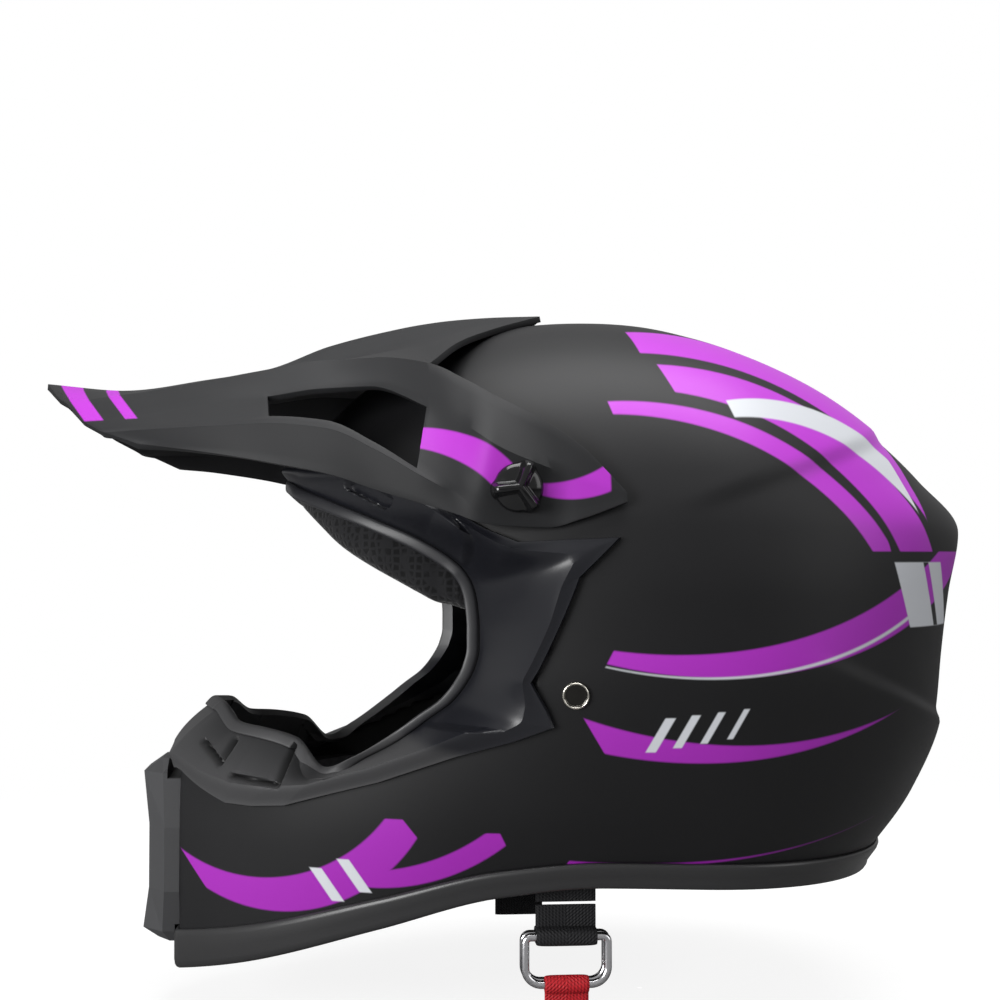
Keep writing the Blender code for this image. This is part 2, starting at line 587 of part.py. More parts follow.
def chin_vent_frame():
    """Faceted mouth vent: a loft of six-sided sections with slots through its middle."""
    back = CHIN_FLAT_X + FIT
    height = VENT_TOP_Z - VENT_BOTTOM_Z
    rows = ((0.0, VENT_TOP_HALF * 0.80, VENT_DEPTH * 0.55), (0.07, VENT_TOP_HALF, VENT_DEPTH),
            (0.36, VENT_MID_HALF, VENT_DEPTH - VENT_HOLLOW),
            (0.71, VENT_MID_HALF, VENT_DEPTH - VENT_HOLLOW),
            (0.94, VENT_BOTTOM_HALF, VENT_DEPTH), (1.0, VENT_BOTTOM_HALF * 0.85, VENT_DEPTH * 0.62))
    points = []
    for share, half, depth in rows:
        z = VENT_TOP_Z - share * height
        side = ((back, half), (back + depth * 0.45, half), (back + depth, half * 0.52))
        points += [(x, -y, z) for x, y in side] + [(x, y, z) for x, y in reversed(side)]
    faces = grid_faces(len(rows), 6, wrap=True) + [tuple(range(6)), tuple(range(len(points) - 6, len(points)))]
    frame = add_object("chin_vent_frame", mesh_of("chin_vent_frame", points, faces), VENT_GREY)
    middle = (MOUTH_TOP_Z + MOUTH_BOTTOM_Z) / 2
    for k in range(VENT_SLOT_COUNT):
        z = middle + (k - (VENT_SLOT_COUNT - 1) / 2) * VENT_SLOT_PITCH
        slot = add_object(f"vent_slot_{k}", box_mesh(
            "vent_slot", (back - 10 * MM, -VENT_SLOT_HALF, z - VENT_SLOT_HEIGHT / 2),
            (back + 30 * MM, VENT_SLOT_HALF, z + VENT_SLOT_HEIGHT / 2)))
        combine(frame, slot)
    lap_top = float(shell_base(LAST_LEVEL - EDGE_TRIM_RISE, 0.0)[2]) + 2 * FIT
    laps = (("edge_lap_cutter", lap_top - 30 * MM, lap_top, EDGE_TRIM_WALL),
            ("port_lap_cutter", VENT_TOP_Z - VENT_LAP, VENT_TOP_Z + 10 * MM, TRIM_SWELL))
    for name, low, high, depth in laps:
        lap = add_object(name, box_mesh(name, (CHIN_FLAT_X - 5 * MM, -60 * MM, low),
                                        (CHIN_FLAT_X + depth + 2 * FIT, 60 * MM, high)))
        combine(frame, lap)


def chin_vent_mesh():
    """Perforated plate in the shell's mouth opening, close behind the vent frame."""
    half = MOUTH_HALF - FIT
    low, high = MOUTH_BOTTOM_Z + FIT, MOUTH_TOP_Z - FIT
    shape = bmesh.new()
    bmesh.ops.create_grid(shape, x_segments=MESH_COLUMNS, y_segments=MESH_ROWS, size=0.5)
    x_front = CHIN_FLAT_X
    place = Matrix.Translation((x_front, 0.0, (low + high) / 2)) @ Matrix(
        ((0, 0, 1, 0), (2 * half, 0, 0, 0), (0, high - low, 0, 0), (0, 0, 0, 1)))
    bmesh.ops.transform(shape, matrix=place, verts=shape.verts)
    holes = bmesh.ops.inset_individual(shape, faces=shape.faces, thickness=MESH_WIRE)
    bmesh.ops.delete(shape, geom=[f for f in shape.faces if f not in set(holes["faces"])], context="FACES_ONLY")
    mesh = bpy.data.meshes.new("chin_vent_mesh")
    bmesh.ops.recalc_face_normals(shape, faces=shape.faces)
    shape.to_mesh(mesh)
    shape.free()
    plate = add_object("chin_vent_mesh", mesh, GLOSS_BLACK)
    if mesh.polygons[0].normal.x < 0:
        mesh.flip_normals()
    solidify(plate, MESH_THICK)


def peak():
    """Peak: one sheet over lines that run from its front edge back to the tongue and the ears."""
    def on_ears(line):
        moved = line.copy()
        moved[EAR_STATION:, 1] += ear_face_y
        return moved

    def stations(line, start, end):
        fine = np.linspace(start, end, int((end - start) * PEAK_STEPS) + 1)
        knots = np.arange(len(line))
        return np.stack([smooth_through(knots, line[:, k], fine) for k in range(3)], axis=1)

    fold_line, vent_line, band_line, edge_line = (
        on_ears(line) for line in (PEAK_FOLD, PEAK_VENT_TOP, PEAK_BAND, PEAK_EDGE))
    arm_end = len(fold_line) - 1
    tongue_end = len(PEAK_RIDGE) - 1
    free = np.vstack((fold_line[PEAK_SPLIT:PEAK_SPLIT + 1], PEAK_HEM))
    fold = stations(fold_line, 0, arm_end)
    hem = np.vstack((fold[:PEAK_SPLIT * PEAK_STEPS], stations(free, 0, len(PEAK_HEM))))
    places = np.linspace(0, arm_end, arm_end * PEAK_STEPS + 1)
    proud = PEAK_BAND_PROUD * (1 - ease(places - PEAK_SPLIT))
    band = stations(band_line, 0, arm_end)
    edge = stations(edge_line, 0, arm_end)
    ledge = band + (np.array((0.0, 1.0, 0.0)) * proud[:, None]
                    + (edge - band) * PEAK_LEDGE)
    vent_top = stations(vent_line, 0, arm_end)
    crown_lines = [stations(line, 0, tongue_end) for line in (PEAK_RIDGE, PEAK_TONGUE, PEAK_VALLEY)] + [hem]
    side_lines = [fold, vent_top, (vent_top + band) / 2, band, ledge, edge]
    top = np.stack(crown_lines, axis=1)
    wall = np.stack(side_lines, axis=1)
    opening = range(PEAK_VENT[0] * PEAK_STEPS, PEAK_VENT[1] * PEAK_STEPS)
    faces = grid_faces(*top.shape[:2])
    shift = top.shape[0] * top.shape[1]
    faces += [tuple(shift + k for k in quad) for quad in
              grid_faces(*wall.shape[:2], skip=lambda r, c: r in opening and c in (1, 2))]
    left = np.vstack((top.reshape(-1, 3), wall.reshape(-1, 3)))
    right = left * np.array((1.0, -1.0, 1.0))
    faces += [tuple(len(left) + k for k in reversed(quad)) for quad in faces]
    mesh = mesh_of("peak", np.vstack((left, right)), faces)
    part = add_object("peak", mesh, PEAK_CHARCOAL)
    if np.mean([face.normal.z for face in mesh.polygons]) < 0:
        mesh.flip_normals()
    solidify(part, PEAK_SHEET)
    for label, side in SIDES:
        hole = add_object("ear_hole_" + label, rod_mesh("ear_hole", SCREW_R + FIT, -PIVOT_CUT, PIVOT_CUT, 24))
        hole.matrix_world = lateral(side, ear_face_y)
        combine(part, hole)
    set_origin(part, (PIVOT_X, 0.0, PIVOT_Z))


def set_origin(part, place):
    """Move an object's origin without moving its mesh."""
    shift = Matrix.Translation(Vector(place))
    part.data.transform(shift.inverted() @ part.matrix_world)
    part.matrix_world = shift


def peak_fixings():
    """Finger screw, washer and threaded insert on each side of the peak's axis."""
    for label, side in SIDES:
        knob = turned("peak_screw_" + label, (
            (0, KNOB_BASE), (KNOB_R - 1.4 * MM, KNOB_BASE), (KNOB_R, KNOB_BASE - 1.4 * MM), (KNOB_R, 0),
            (SCREW_R, 0), (SCREW_R, -screw_reach), (0, -screw_reach)), GLOSS_BLACK)
        knob.matrix_world = lateral(side, ear_face_y + FIT)
        for k in range(3):
            fin = add_object(f"fin_{label}_{k}", box_mesh(
                "fin", (0.0, -FIN_WIDTH / 2, KNOB_BASE - 2 * MM),
                (KNOB_R + 0.6 * MM, FIN_WIDTH / 2, KNOB_BASE + FIN_RISE)))
            fin.matrix_world = knob.matrix_world @ Matrix.Rotation(math.radians(120 * k + FIN_START), 4, "Z")
            combine(knob, fin, "UNION")
        washer = turned("peak_washer_" + label, (
            (SCREW_R + FIT, WASHER_THICK), (WASHER_R, WASHER_THICK), (WASHER_R, 0), (SCREW_R + FIT, 0)),
            BLACK_RUBBER, ring=True)
        washer.matrix_world = lateral(side, pivot_face_y + FIT)
        insert_end = -boss_length - FIT
        insert = turned("peak_insert_" + label, (
            (SCREW_R + FIT, -FIT), (INSERT_R, -FIT), (INSERT_R, insert_end), (INSERT_FLANGE_R, insert_end),
            (INSERT_FLANGE_R, insert_end - INSERT_FLANGE), (SCREW_R + FIT, insert_end - INSERT_FLANGE)),
            BRIGHT_STEEL, ring=True)
        insert.matrix_world = lateral(side, pivot_face_y)


def shell_layer(name, outer, inner, lower, material, rows, columns, channels=None):
    """Closed layer of liner between two depths below the shell, down to a lower line round the head."""
    angles = np.linspace(0, 2 * math.pi, columns, endpoint=False)
    turn = np.degrees(np.minimum(angles, 2 * math.pi - angles))
    stops = np.array(lower, float)
    ends = smooth_through(stops[:, 0], stops[:, 1] * MM, turn)
    last = np.array([level_at(a, z) for a, z in zip(angles, ends)])
    levels = last[None, :] * np.linspace(0, 1, rows + 1)[1:, None]
    across = np.broadcast_to(angles, levels.shape)
    groove = channels(levels / last[None, :], angles[None, :]) if channels else 0.0
    out = shell_point(levels, across, outer)
    within = shell_point(levels, across, inner - groove)
    points = np.vstack((out.reshape(-1, 3), within[::-1].reshape(-1, 3), shell_point(0.02, 0.0, outer)[None],
                        shell_point(0.02, 0.0, inner)[None]))
    faces = grid_faces(2 * rows, columns, wrap=True)
    top = 2 * rows * columns
    final = (2 * rows - 1) * columns
    faces += [(top, (c + 1) % columns, c) for c in range(columns)]
    faces += [(top + 1, final + c, final + (c + 1) % columns) for c in range(columns)]
    return add_object(name, mesh_of(name, points, faces), material)


def eps_liner():
    """Foam liner with pockets for the inserts."""
    liner = shell_layer("eps_liner", EPS_DEPTH, EPS_DEPTH + EPS_THICK, EPS_LOWER, FOAM_GREY, LINER_ROWS,
                        LINER_COLUMNS)
    for label, side in SIDES:
        pocket = add_object("insert_pocket_" + label, rod_mesh(
            "insert_pocket", BOSS_R + 2 * FIT, -boss_length - INSERT_FLANGE - 4 * FIT, 20 * MM, 24))
        pocket.matrix_world = lateral(side, pivot_face_y)
        combine(liner, pocket)


def comfort_liner():
    """Padded lining, sewn in channels that run down from the crown."""
    def channels(share, angle):
        across = np.abs(np.sin(angle * LINING_CHANNELS / 2)) ** 0.7
        return LINING_GROOVE * (1 - across) * ease(share * 3)

    shell_layer("comfort_liner", LINING_DEPTH, LINING_DEPTH + LINING_THICK, LINING_LOWER, LINING_BLACK,
                LINER_ROWS, LINER_COLUMNS, channels)


def chin_bar_liner():
    """Foam strip inside the chin bar, open at the mouth."""
    turn = np.arange(-CHIN_FOAM_COLUMNS, CHIN_FOAM_COLUMNS + 1) * 2 * math.pi / SHELL_COLUMNS
    top = np.array([level_at(a, CHIN_FOAM_TOP_Z) for a in turn])
    low = np.array([level_at(a, float(shell_base(LAST_LEVEL, a)[2]) + CHIN_FOAM_DROP) for a in turn])
    levels = top[None, :] + (low - top)[None, :] * np.linspace(0, 1, 4)[:, None]
    angles = np.broadcast_to(turn, levels.shape)
    outer = shell_point(levels, angles, CHIN_FOAM_DEPTH)
    inner = shell_point(levels, angles, CHIN_FOAM_DEPTH + CHIN_FOAM_THICK)
    rows, columns = levels.shape
    size = rows * columns
    points = np.vstack((outer.reshape(-1, 3), inner.reshape(-1, 3)))
    sheet = grid_faces(rows, columns)
    faces = sheet + [tuple(size + k for k in reversed(quad)) for quad in sheet]
    border = ([c for c in range(columns)] + [r * columns + columns - 1 for r in range(1, rows)]
              + [(rows - 1) * columns + c for c in range(columns - 2, -1, -1)]
              + [r * columns for r in range(rows - 2, 0, -1)])
    faces += [(a, b, size + b, size + a) for a, b in zip(border, border[1:] + border[:1])]
    foam = add_object("chin_bar_liner", mesh_of("chin_bar_liner", points, faces), FOAM_GREY)
    mouth = add_object("foam_mouth_cutter", box_mesh(
        "foam_mouth_cutter", (CHIN_FLAT_X - 60 * MM, -MOUTH_HALF, MOUTH_BOTTOM_Z),
        (CHIN_FLAT_X + 20 * MM, MOUTH_HALF, MOUTH_TOP_Z)))
    combine(foam, mouth)


def cheek_pads():
    """Soft pads at the cheeks: crowned, drawn in at the border, with one sewn channel across."""
    count = 11
    side_place, height_place = np.meshgrid(np.linspace(-1, 1, count), np.linspace(-1, 1, count))
    angles = np.radians(np.mean(CHEEK_ANGLES) + side_place * (CHEEK_ANGLES[1] - CHEEK_ANGLES[0]) / 2)
    heights = np.mean(CHEEK_HEIGHTS) - height_place * (CHEEK_HEIGHTS[0] - CHEEK_HEIGHTS[1]) / 2
    levels = np.array([[level_at(a, z) for a, z in zip(*row)] for row in zip(angles, heights)])
    outer_depth = webbing_depth + WEBBING_THICK / 2 + 1.2 * FIT
    crown = ((1 - side_place ** 4) * (1 - height_place ** 4)) ** 0.6
    crown = crown * (1 - CHEEK_GROOVE * np.exp(-((height_place + 0.15) / 0.12) ** 2))
    thick = CHEEK_THICK * (CHEEK_RIM + (1 - CHEEK_RIM) * crown)
    outer = shell_point(levels, angles, outer_depth)
    inner = shell_point(levels, angles, outer_depth + thick)
    size = count * count
    sheet = grid_faces(count, count)
    faces = sheet + [tuple(size + k for k in reversed(quad)) for quad in sheet]
    border = ([c for c in range(count)] + [r * count + count - 1 for r in range(1, count)]
              + [(count - 1) * count + c for c in range(count - 2, -1, -1)]
              + [r * count for r in range(count - 2, 0, -1)])
    faces += [(a, b, size + b, size + a) for a, b in zip(border, border[1:] + border[:1])]
    points = np.vstack((outer.reshape(-1, 3), inner.reshape(-1, 3)))
    for label, side in SIDES:
        flip = np.array((1.0, side, 1.0))
        add_object("cheek_pad_" + label, mesh_of("cheek_pad_" + label, points * flip, faces), LINING_BLACK)


def tube(name, points, radius, material, cyclic=False, resolution=2, radii=None):
    """Round wire or roll along a path."""
    curve = bpy.data.curves.new(name, "CURVE")
    curve.dimensions = "3D"
    curve.bevel_depth = radius
    curve.bevel_resolution = resolution
    curve.use_fill_caps = not cyclic
    spline = curve.splines.new("POLY")
    spline.points.add(len(points) - 1)
    for k, (knot, place) in enumerate(zip(spline.points, points)):
        knot.co = (*map(float, place), 1.0)
        knot.radius = radii[k] if radii is not None else 1.0
    spline.use_cyclic_u = cyclic
    curve.materials.append(material)
    part = bpy.data.objects.new(name, curve)
    helmet.objects.link(part)
    return part


def neck_roll():
    """Padded roll inside the back of the lower edge, tapered at both ends."""
    turn = np.radians(np.linspace(*NECK_ROLL_ANGLES, 25))
    depth = SHELL_WALL + FIT + NECK_ROLL_R
    path = [shell_point(level_at(a, NECK_ROLL_Z), a, depth) for a in turn]
    share = np.linspace(-1, 1, len(turn))
    tube("neck_roll", path, NECK_ROLL_R, LINING_BLACK, resolution=3, radii=(1 - share ** 6) ** 0.5 * 0.6 + 0.4)


def strap_rivets():
    """Bright rivets with a recessed middle, and the steel plates that they hold inside the shell."""
    for label, side in SIDES:
        tail = ANCHOR_DEPTH + ANCHOR_SIZE[2] + FIT
        rivet = turned("strap_rivet_" + label, (
            (0, 0.5 * MM), (RIVET_HEAD_R * 0.5, 0.5 * MM), (RIVET_HEAD_R * 0.62, RIVET_HEAD),
            (RIVET_HEAD_R * 0.86, RIVET_HEAD), (RIVET_HEAD_R, RIVET_HEAD * 0.55), (RIVET_HEAD_R, FIT),
            (RIVET_SHANK_R, FIT), (RIVET_SHANK_R, -tail), (RIVET_SHANK_R * 1.5, -tail),
            (RIVET_SHANK_R * 1.5, -tail - 1.0 * MM), (0, -tail - 1.0 * MM)), BRIGHT_STEEL, steps=20)
        rivet.matrix_world = rivet_frame(side)
        width, height, thick = ANCHOR_SIZE
        plate = add_object("strap_anchor_" + label, box_mesh(
            "strap_anchor", (-width / 2, -height / 2, -ANCHOR_DEPTH - thick), (width / 2, height / 2, -ANCHOR_DEPTH)),
            BRIGHT_STEEL)
        plate.matrix_world = rivet_frame(side)
        hole = add_object("anchor_hole_" + label, rod_mesh(
            "anchor_hole", RIVET_SHANK_R + RIVET_CLEAR, -20 * MM, 10 * MM, 16))
        hole.matrix_world = rivet_frame(side)
        combine(plate, hole)


webbing_depth = ANCHOR_DEPTH + ANCHOR_SIZE[2] + FIT + WEBBING_THICK / 2
edge_depth = SHELL_WALL + EDGE_TRIM_WALL + WEBBING_THICK / 2 + 8 * FIT
strap_y = float(on_shell(RIVET_X + WEBBING_WIDTH / 2, EDGE_LINE[1, 1], edge_depth)[0][1])


def strap_upper():
    """Webbing from the steel plate down inside the shell to the lower edge."""
    heights = np.linspace(WEBBING_TOP_Z, EDGE_LINE[1, 1] + 9 * MM, 9)
    edges = []
    for offset in (-WEBBING_WIDTH / 2, WEBBING_WIDTH / 2):
        x = RIVET_X + offset
        line = [on_shell(x, z, webbing_depth)[0] * np.array((0, 1, 1)) + np.array((x, 0, 0)) for z in heights]
        line.append(np.array((x, strap_y, EDGE_LINE[1, 1])))
        line.append(np.array((x, strap_y, STRAP_HINGE_Z + WEBBING_THICK / 2 + FIT)))
        edges.append(line)
    points = np.stack(edges, axis=1)
    for label, side in SIDES:
        flip = np.array((1.0, side, 1.0))
        name = f"strap_{label}_upper"
        part = add_object(name, mesh_of(name, (points * flip).reshape(-1, 3), grid_faces(len(points), 2)),
                          WEBBING_BLACK)
        solidify(part, WEBBING_THICK, 0.0)


def webbing_tail(name, side, length):
    """Hanging webbing with a round top on its swing axis; local origin on that axis."""
    round_top = rod_mesh(name, WEBBING_THICK / 2, -WEBBING_WIDTH / 2, WEBBING_WIDTH / 2, 12)
    round_top.transform(Matrix.Rotation(math.pi / 2, 4, "Y"))
    part = add_object(name, round_top, WEBBING_BLACK)
    part.location = (RIVET_X, side * strap_y, STRAP_HINGE_Z)
    strip = add_object(name + "_strip", box_mesh(
        name + "_strip", (-WEBBING_WIDTH / 2, -WEBBING_THICK / 2 * 0.98, -length),
        (WEBBING_WIDTH / 2, WEBBING_THICK / 2 * 0.98, 0.0)))
    strip.location = part.location
    combine(part, strip, "UNION")
    return part


ring_gap = RING_SPACING + 2 * RING_WIRE_R + 2 * FIT
loop_centre_z = STRAP_HINGE_Z - STRAP_LEFT_LENGTH
ring_rest_z = loop_centre_z


def strap_lower():
    """Left webbing with the loop for the two rings, and the longer right webbing with its folded hem."""
    left = webbing_tail("strap_left_lower", 1, STRAP_LEFT_LENGTH)
    half_y = ring_gap / 2 + LOOP_WALL
    half_z = RING_WIRE_R + FIT + LOOP_WALL
    sleeve = add_object("ring_sleeve", box_mesh("ring_sleeve", (-WEBBING_WIDTH / 2, -half_y, -half_z),
                                                (WEBBING_WIDTH / 2, half_y, half_z)))
    hollow = add_object("ring_hollow", box_mesh("ring_hollow", (-WEBBING_WIDTH, -ring_gap / 2, -RING_WIRE_R - FIT),
                                                (WEBBING_WIDTH, ring_gap / 2, RING_WIRE_R + FIT)))
    for tool, operation in ((sleeve, "UNION"), (hollow, "DIFFERENCE")):
        tool.location = (RIVET_X, strap_y, loop_centre_z)
        combine(left, tool, operation)
    right = webbing_tail("strap_right_lower", -1, STRAP_RIGHT_LENGTH)
    hem = add_object("tail_hem", box_mesh("tail_hem", (-WEBBING_WIDTH / 2, -WEBBING_THICK, -STRAP_RIGHT_LENGTH),
                                          (WEBBING_WIDTH / 2, WEBBING_THICK, -STRAP_RIGHT_LENGTH + 12 * MM)))
    hem.location = right.location
    combine(right, hem, "UNION")


def ring_path():
    """Rounded ring in the local XZ plane with its straight bar on the local X axis."""
    turn = np.radians(np.linspace(0, 90, 5))
    right = [(RING_HALF - RING_CORNER + RING_CORNER * math.cos(a),
              -RING_DEPTH + RING_CORNER - RING_CORNER * math.sin(a)) for a in turn]
    shoulder = 2.0 * MM
    half = [(RING_HALF - shoulder, 0.0), (RING_HALF, -shoulder)] + right
    return [(x, 0.0, z) for x, z in half] + [(-x, 0.0, z) for x, z in reversed(half)]


def buckle():
    """Two rings hanging on the loop of the left strap, and the red tab on the outer one."""
    for label, side in (("outer", 1), ("inner", -1)):
        ring = tube("d_ring_" + label, ring_path(), RING_WIRE_R, BRIGHT_STEEL, cyclic=True)
        ring.location = (RIVET_X, strap_y + side * RING_SPACING / 2, ring_rest_z)
    eye = RING_WIRE_R + FIT + TAB_THICK
    tab = add_object("pull_tab", box_mesh("pull_tab", (-TAB_WIDTH / 2, -TAB_THICK / 2, -TAB_LENGTH - eye),
                                          (TAB_WIDTH / 2, TAB_THICK / 2, 0.0)), TAB_RED)
    tab.location = (RIVET_X, strap_y + RING_SPACING / 2, ring_rest_z - RING_DEPTH)
    fold = rod_mesh("tab_fold", eye, -TAB_WIDTH / 2, TAB_WIDTH / 2, 16)
    bore = rod_mesh("tab_bore", RING_WIRE_R + FIT, -TAB_WIDTH, TAB_WIDTH, 16)
    for mesh, operation in ((fold, "UNION"), (bore, "DIFFERENCE")):
        mesh.transform(Matrix.Rotation(math.pi / 2, 4, "Y"))
        tool = add_object(mesh.name, mesh)
        tool.location = tab.location
        combine(tab, tool, operation)


outer_shell()
eyeport_trim()
bottom_edge_trim()
chin_vent_frame()
chin_vent_mesh()
peak()
peak_fixings()
eps_liner()
comfort_liner()
chin_bar_liner()
cheek_pads()
neck_roll()
strap_rivets()
strap_upper()
strap_lower()
buckle()
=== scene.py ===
import math

import bmesh
import bpy
import numpy as np
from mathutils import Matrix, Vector


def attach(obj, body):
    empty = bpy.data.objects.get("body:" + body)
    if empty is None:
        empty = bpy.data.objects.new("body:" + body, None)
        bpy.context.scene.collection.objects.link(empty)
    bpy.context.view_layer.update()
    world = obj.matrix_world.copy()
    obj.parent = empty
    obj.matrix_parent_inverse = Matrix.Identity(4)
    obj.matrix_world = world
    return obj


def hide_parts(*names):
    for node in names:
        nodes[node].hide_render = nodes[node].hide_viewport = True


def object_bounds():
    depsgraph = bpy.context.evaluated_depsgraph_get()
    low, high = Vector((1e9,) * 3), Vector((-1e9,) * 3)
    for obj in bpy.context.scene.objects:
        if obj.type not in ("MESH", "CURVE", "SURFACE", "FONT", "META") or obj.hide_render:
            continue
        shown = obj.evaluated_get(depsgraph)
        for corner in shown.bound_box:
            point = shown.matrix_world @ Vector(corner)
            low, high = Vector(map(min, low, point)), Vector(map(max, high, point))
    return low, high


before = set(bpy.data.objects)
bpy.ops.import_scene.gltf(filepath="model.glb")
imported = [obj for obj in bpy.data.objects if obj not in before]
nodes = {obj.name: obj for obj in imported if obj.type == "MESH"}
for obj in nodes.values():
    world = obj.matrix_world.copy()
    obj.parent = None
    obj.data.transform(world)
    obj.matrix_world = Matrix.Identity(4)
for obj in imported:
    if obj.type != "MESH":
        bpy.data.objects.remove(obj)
cad_box = [list(corner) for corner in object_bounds()]

# Studio: a pale seamless floor below the hanging strap, a white surround,
# one large softbox over the helmet and a weaker one on each side.
scene = bpy.context.scene
scene.view_settings.view_transform = "Standard"
FLOOR_Z = cad_box[0][2] - 0.0015


class Wire:
    """A shader value. Arithmetic on it adds Math nodes to its own material."""

    def __init__(self, finish, socket):
        self.finish = finish
        self.socket = socket

    def math(self, operation, *values):
        return self.finish.node("ShaderNodeMath", {"operation": operation}, dict(enumerate(values)))

    def __add__(self, other):
        return self.math("ADD", self, other)

    def __radd__(self, other):
        return self.math("ADD", other, self)

    def __sub__(self, other):
        return self.math("SUBTRACT", self, other)

    def __rsub__(self, other):
        return self.math("SUBTRACT", other, self)

    def __mul__(self, other):
        return self.math("MULTIPLY", self, other)

    def __pow__(self, other):
        return self.math("POWER", self, other)

    def __abs__(self):
        return self.math("ABSOLUTE", self)

    def most(self, other):
        return self.math("MAXIMUM", self, other)

    def sine(self):
        return self.math("SINE", self)

    def rise(self, low, high):
        """0 at low and 1 at high, with a smooth step between; low may be the larger."""
        return self.finish.node("ShaderNodeMapRange", {"interpolation_type": "SMOOTHSTEP"},
                                {"Value": self, "From Min": low, "From Max": high})


class Finish:
    """Principled material; node() adds its nodes and set() feeds the shader's sockets."""

    def __init__(self, name, **sockets):
        self.material = bpy.data.materials.new(name)
        self.material.use_nodes = True
        self.tree = self.material.node_tree
        self.shader = self.tree.nodes["Principled BSDF"]
        self.place = self.node("ShaderNodeTexCoord", output="Object")
        for socket, value in sockets.items():
            self.set(socket.replace("_", " "), value)

    def node(self, kind, settings=None, inputs=None, output=0):
        made = self.tree.nodes.new(kind)
        for key, value in (settings or {}).items():
            setattr(made, key, value)
        for key, value in (inputs or {}).items():
            self.feed(made.inputs[key], value)
        return Wire(self, made.outputs[output])

    def feed(self, socket, value):
        if isinstance(value, Wire):
            self.tree.links.new(value.socket, socket)
        else:
            socket.default_value = value

    def set(self, socket, value):
        self.feed(self.shader.inputs[socket], value)

    def axes(self, place=None):
        """The three parts of a place, in millimetres."""
        scaled = self.node("ShaderNodeVectorMath", {"operation": "SCALE"},
                           {0: place or self.place, "Scale": 1000.0})
        return [self.node("ShaderNodeSeparateXYZ", None, {0: scaled}, k) for k in range(3)]

    def mix(self, share, low, high):
        return self.node("ShaderNodeMix", {"data_type": "RGBA"}, {0: share, 6: low, 7: high}, 2)

    def noise(self, scale, detail=3.0):
        return self.node("ShaderNodeTexNoise", None, {"Vector": self.place, "Scale": scale, "Detail": detail})

    def bump(self, height, distance, strength=1.0):
        self.set("Normal", self.node("ShaderNodeBump", None,
                                     {"Strength": strength, "Distance": distance, "Height": height}))

    def dress(self, *pieces):
        for piece in pieces:
            piece.data.materials.clear()
            piece.data.materials.append(self.material)


def grid_piece(name, points, wrap_rows=False, wrap_columns=False, keep=None, merge=True):
    """Mesh over a grid of points (rows, columns, 3): quads between neighbours, each way closed if wrapped."""
    rows, columns = points.shape[:2]
    index = np.arange(rows * columns).reshape(rows, columns)
    near = index if wrap_rows else index[:-1]
    far = np.roll(index, -1, axis=0) if wrap_rows else index[1:]
    if wrap_columns:
        quads = np.stack((near, np.roll(near, -1, axis=1), np.roll(far, -1, axis=1), far), axis=-1)
    else:
        quads = np.stack((near[:, :-1], near[:, 1:], far[:, 1:], far[:, :-1]), axis=-1)
    quads = quads[keep] if keep is not None else quads.reshape(-1, 4)
    used, quads = np.unique(quads, return_inverse=True)
    mesh = bpy.data.meshes.new(name)
    mesh.from_pydata(points.reshape(-1, 3)[used], [], quads.reshape(-1, 4))
    if merge:
        weld(mesh)
    mesh.shade_smooth()
    piece = bpy.data.objects.new(name, mesh)
    scene.collection.objects.link(piece)
    return piece


def weld(mesh):
    """Merge doubles, drop faces without area and turn all faces the same way, outwards."""
    shape = bmesh.new()
    shape.from_mesh(mesh)
    bmesh.ops.remove_doubles(shape, verts=shape.verts, dist=0.00001)
    bmesh.ops.dissolve_degenerate(shape, dist=0.000005, edges=shape.edges)
    bmesh.ops.recalc_face_normals(shape, faces=shape.faces)
    shape.to_mesh(mesh)
    shape.free()


def full_turn(count):
    """Even turns round a circle."""
    return np.linspace(0, 2 * math.pi, count, endpoint=False)


floor_reach = np.array((0.001, 0.6, 1.2, 12.0))[:, None]
floor_turn = full_turn(64)[None, :]
floor = grid_piece("floor", np.stack((floor_reach * np.cos(floor_turn), floor_reach * np.sin(floor_turn),
                                      FLOOR_Z + 0.0 * floor_reach * floor_turn), axis=-1), wrap_columns=True)
if floor.data.polygons[0].normal.z < 0:
    floor.data.flip_normals()
pale = Finish("pale_floor", Base_Color=(0.25, 0.25, 0.25, 1.0), Roughness=0.9, Specular_IOR_Level=0.0)
lit = pale.node("ShaderNodeAddShader", None, {
    0: Wire(pale, pale.shader.outputs[0]),
    1: pale.node("ShaderNodeEmission", None, {"Color": (1.0, 1.0, 1.0, 1.0), "Strength": 0.86})})
white = pale.node("ShaderNodeEmission", None, {"Color": (1.0, 1.0, 1.0, 1.0), "Strength": 1.0})
away = pale.node("ShaderNodeVectorMath", {"operation": "LENGTH"}, {0: pale.place}, "Value").rise(0.25, 0.75)
seen = pale.node("ShaderNodeLightPath", output="Is Camera Ray")
ground = pale.node("ShaderNodeMixShader", None, {0: away, 1: lit, 2: white})
ground = pale.node("ShaderNodeMixShader", None, {0: seen, 1: Wire(pale, pale.shader.outputs[0]), 2: ground})
pale.feed(pale.tree.nodes["Material Output"].inputs["Surface"], ground)
pale.dress(floor)


class Surround(Finish):
    """The world's nodes, made and fed like a material's."""

    def __init__(self, world):
        world.use_nodes = True
        self.tree = world.node_tree

    def ray(self, kind):
        return self.node("ShaderNodeLightPath", output=kind)


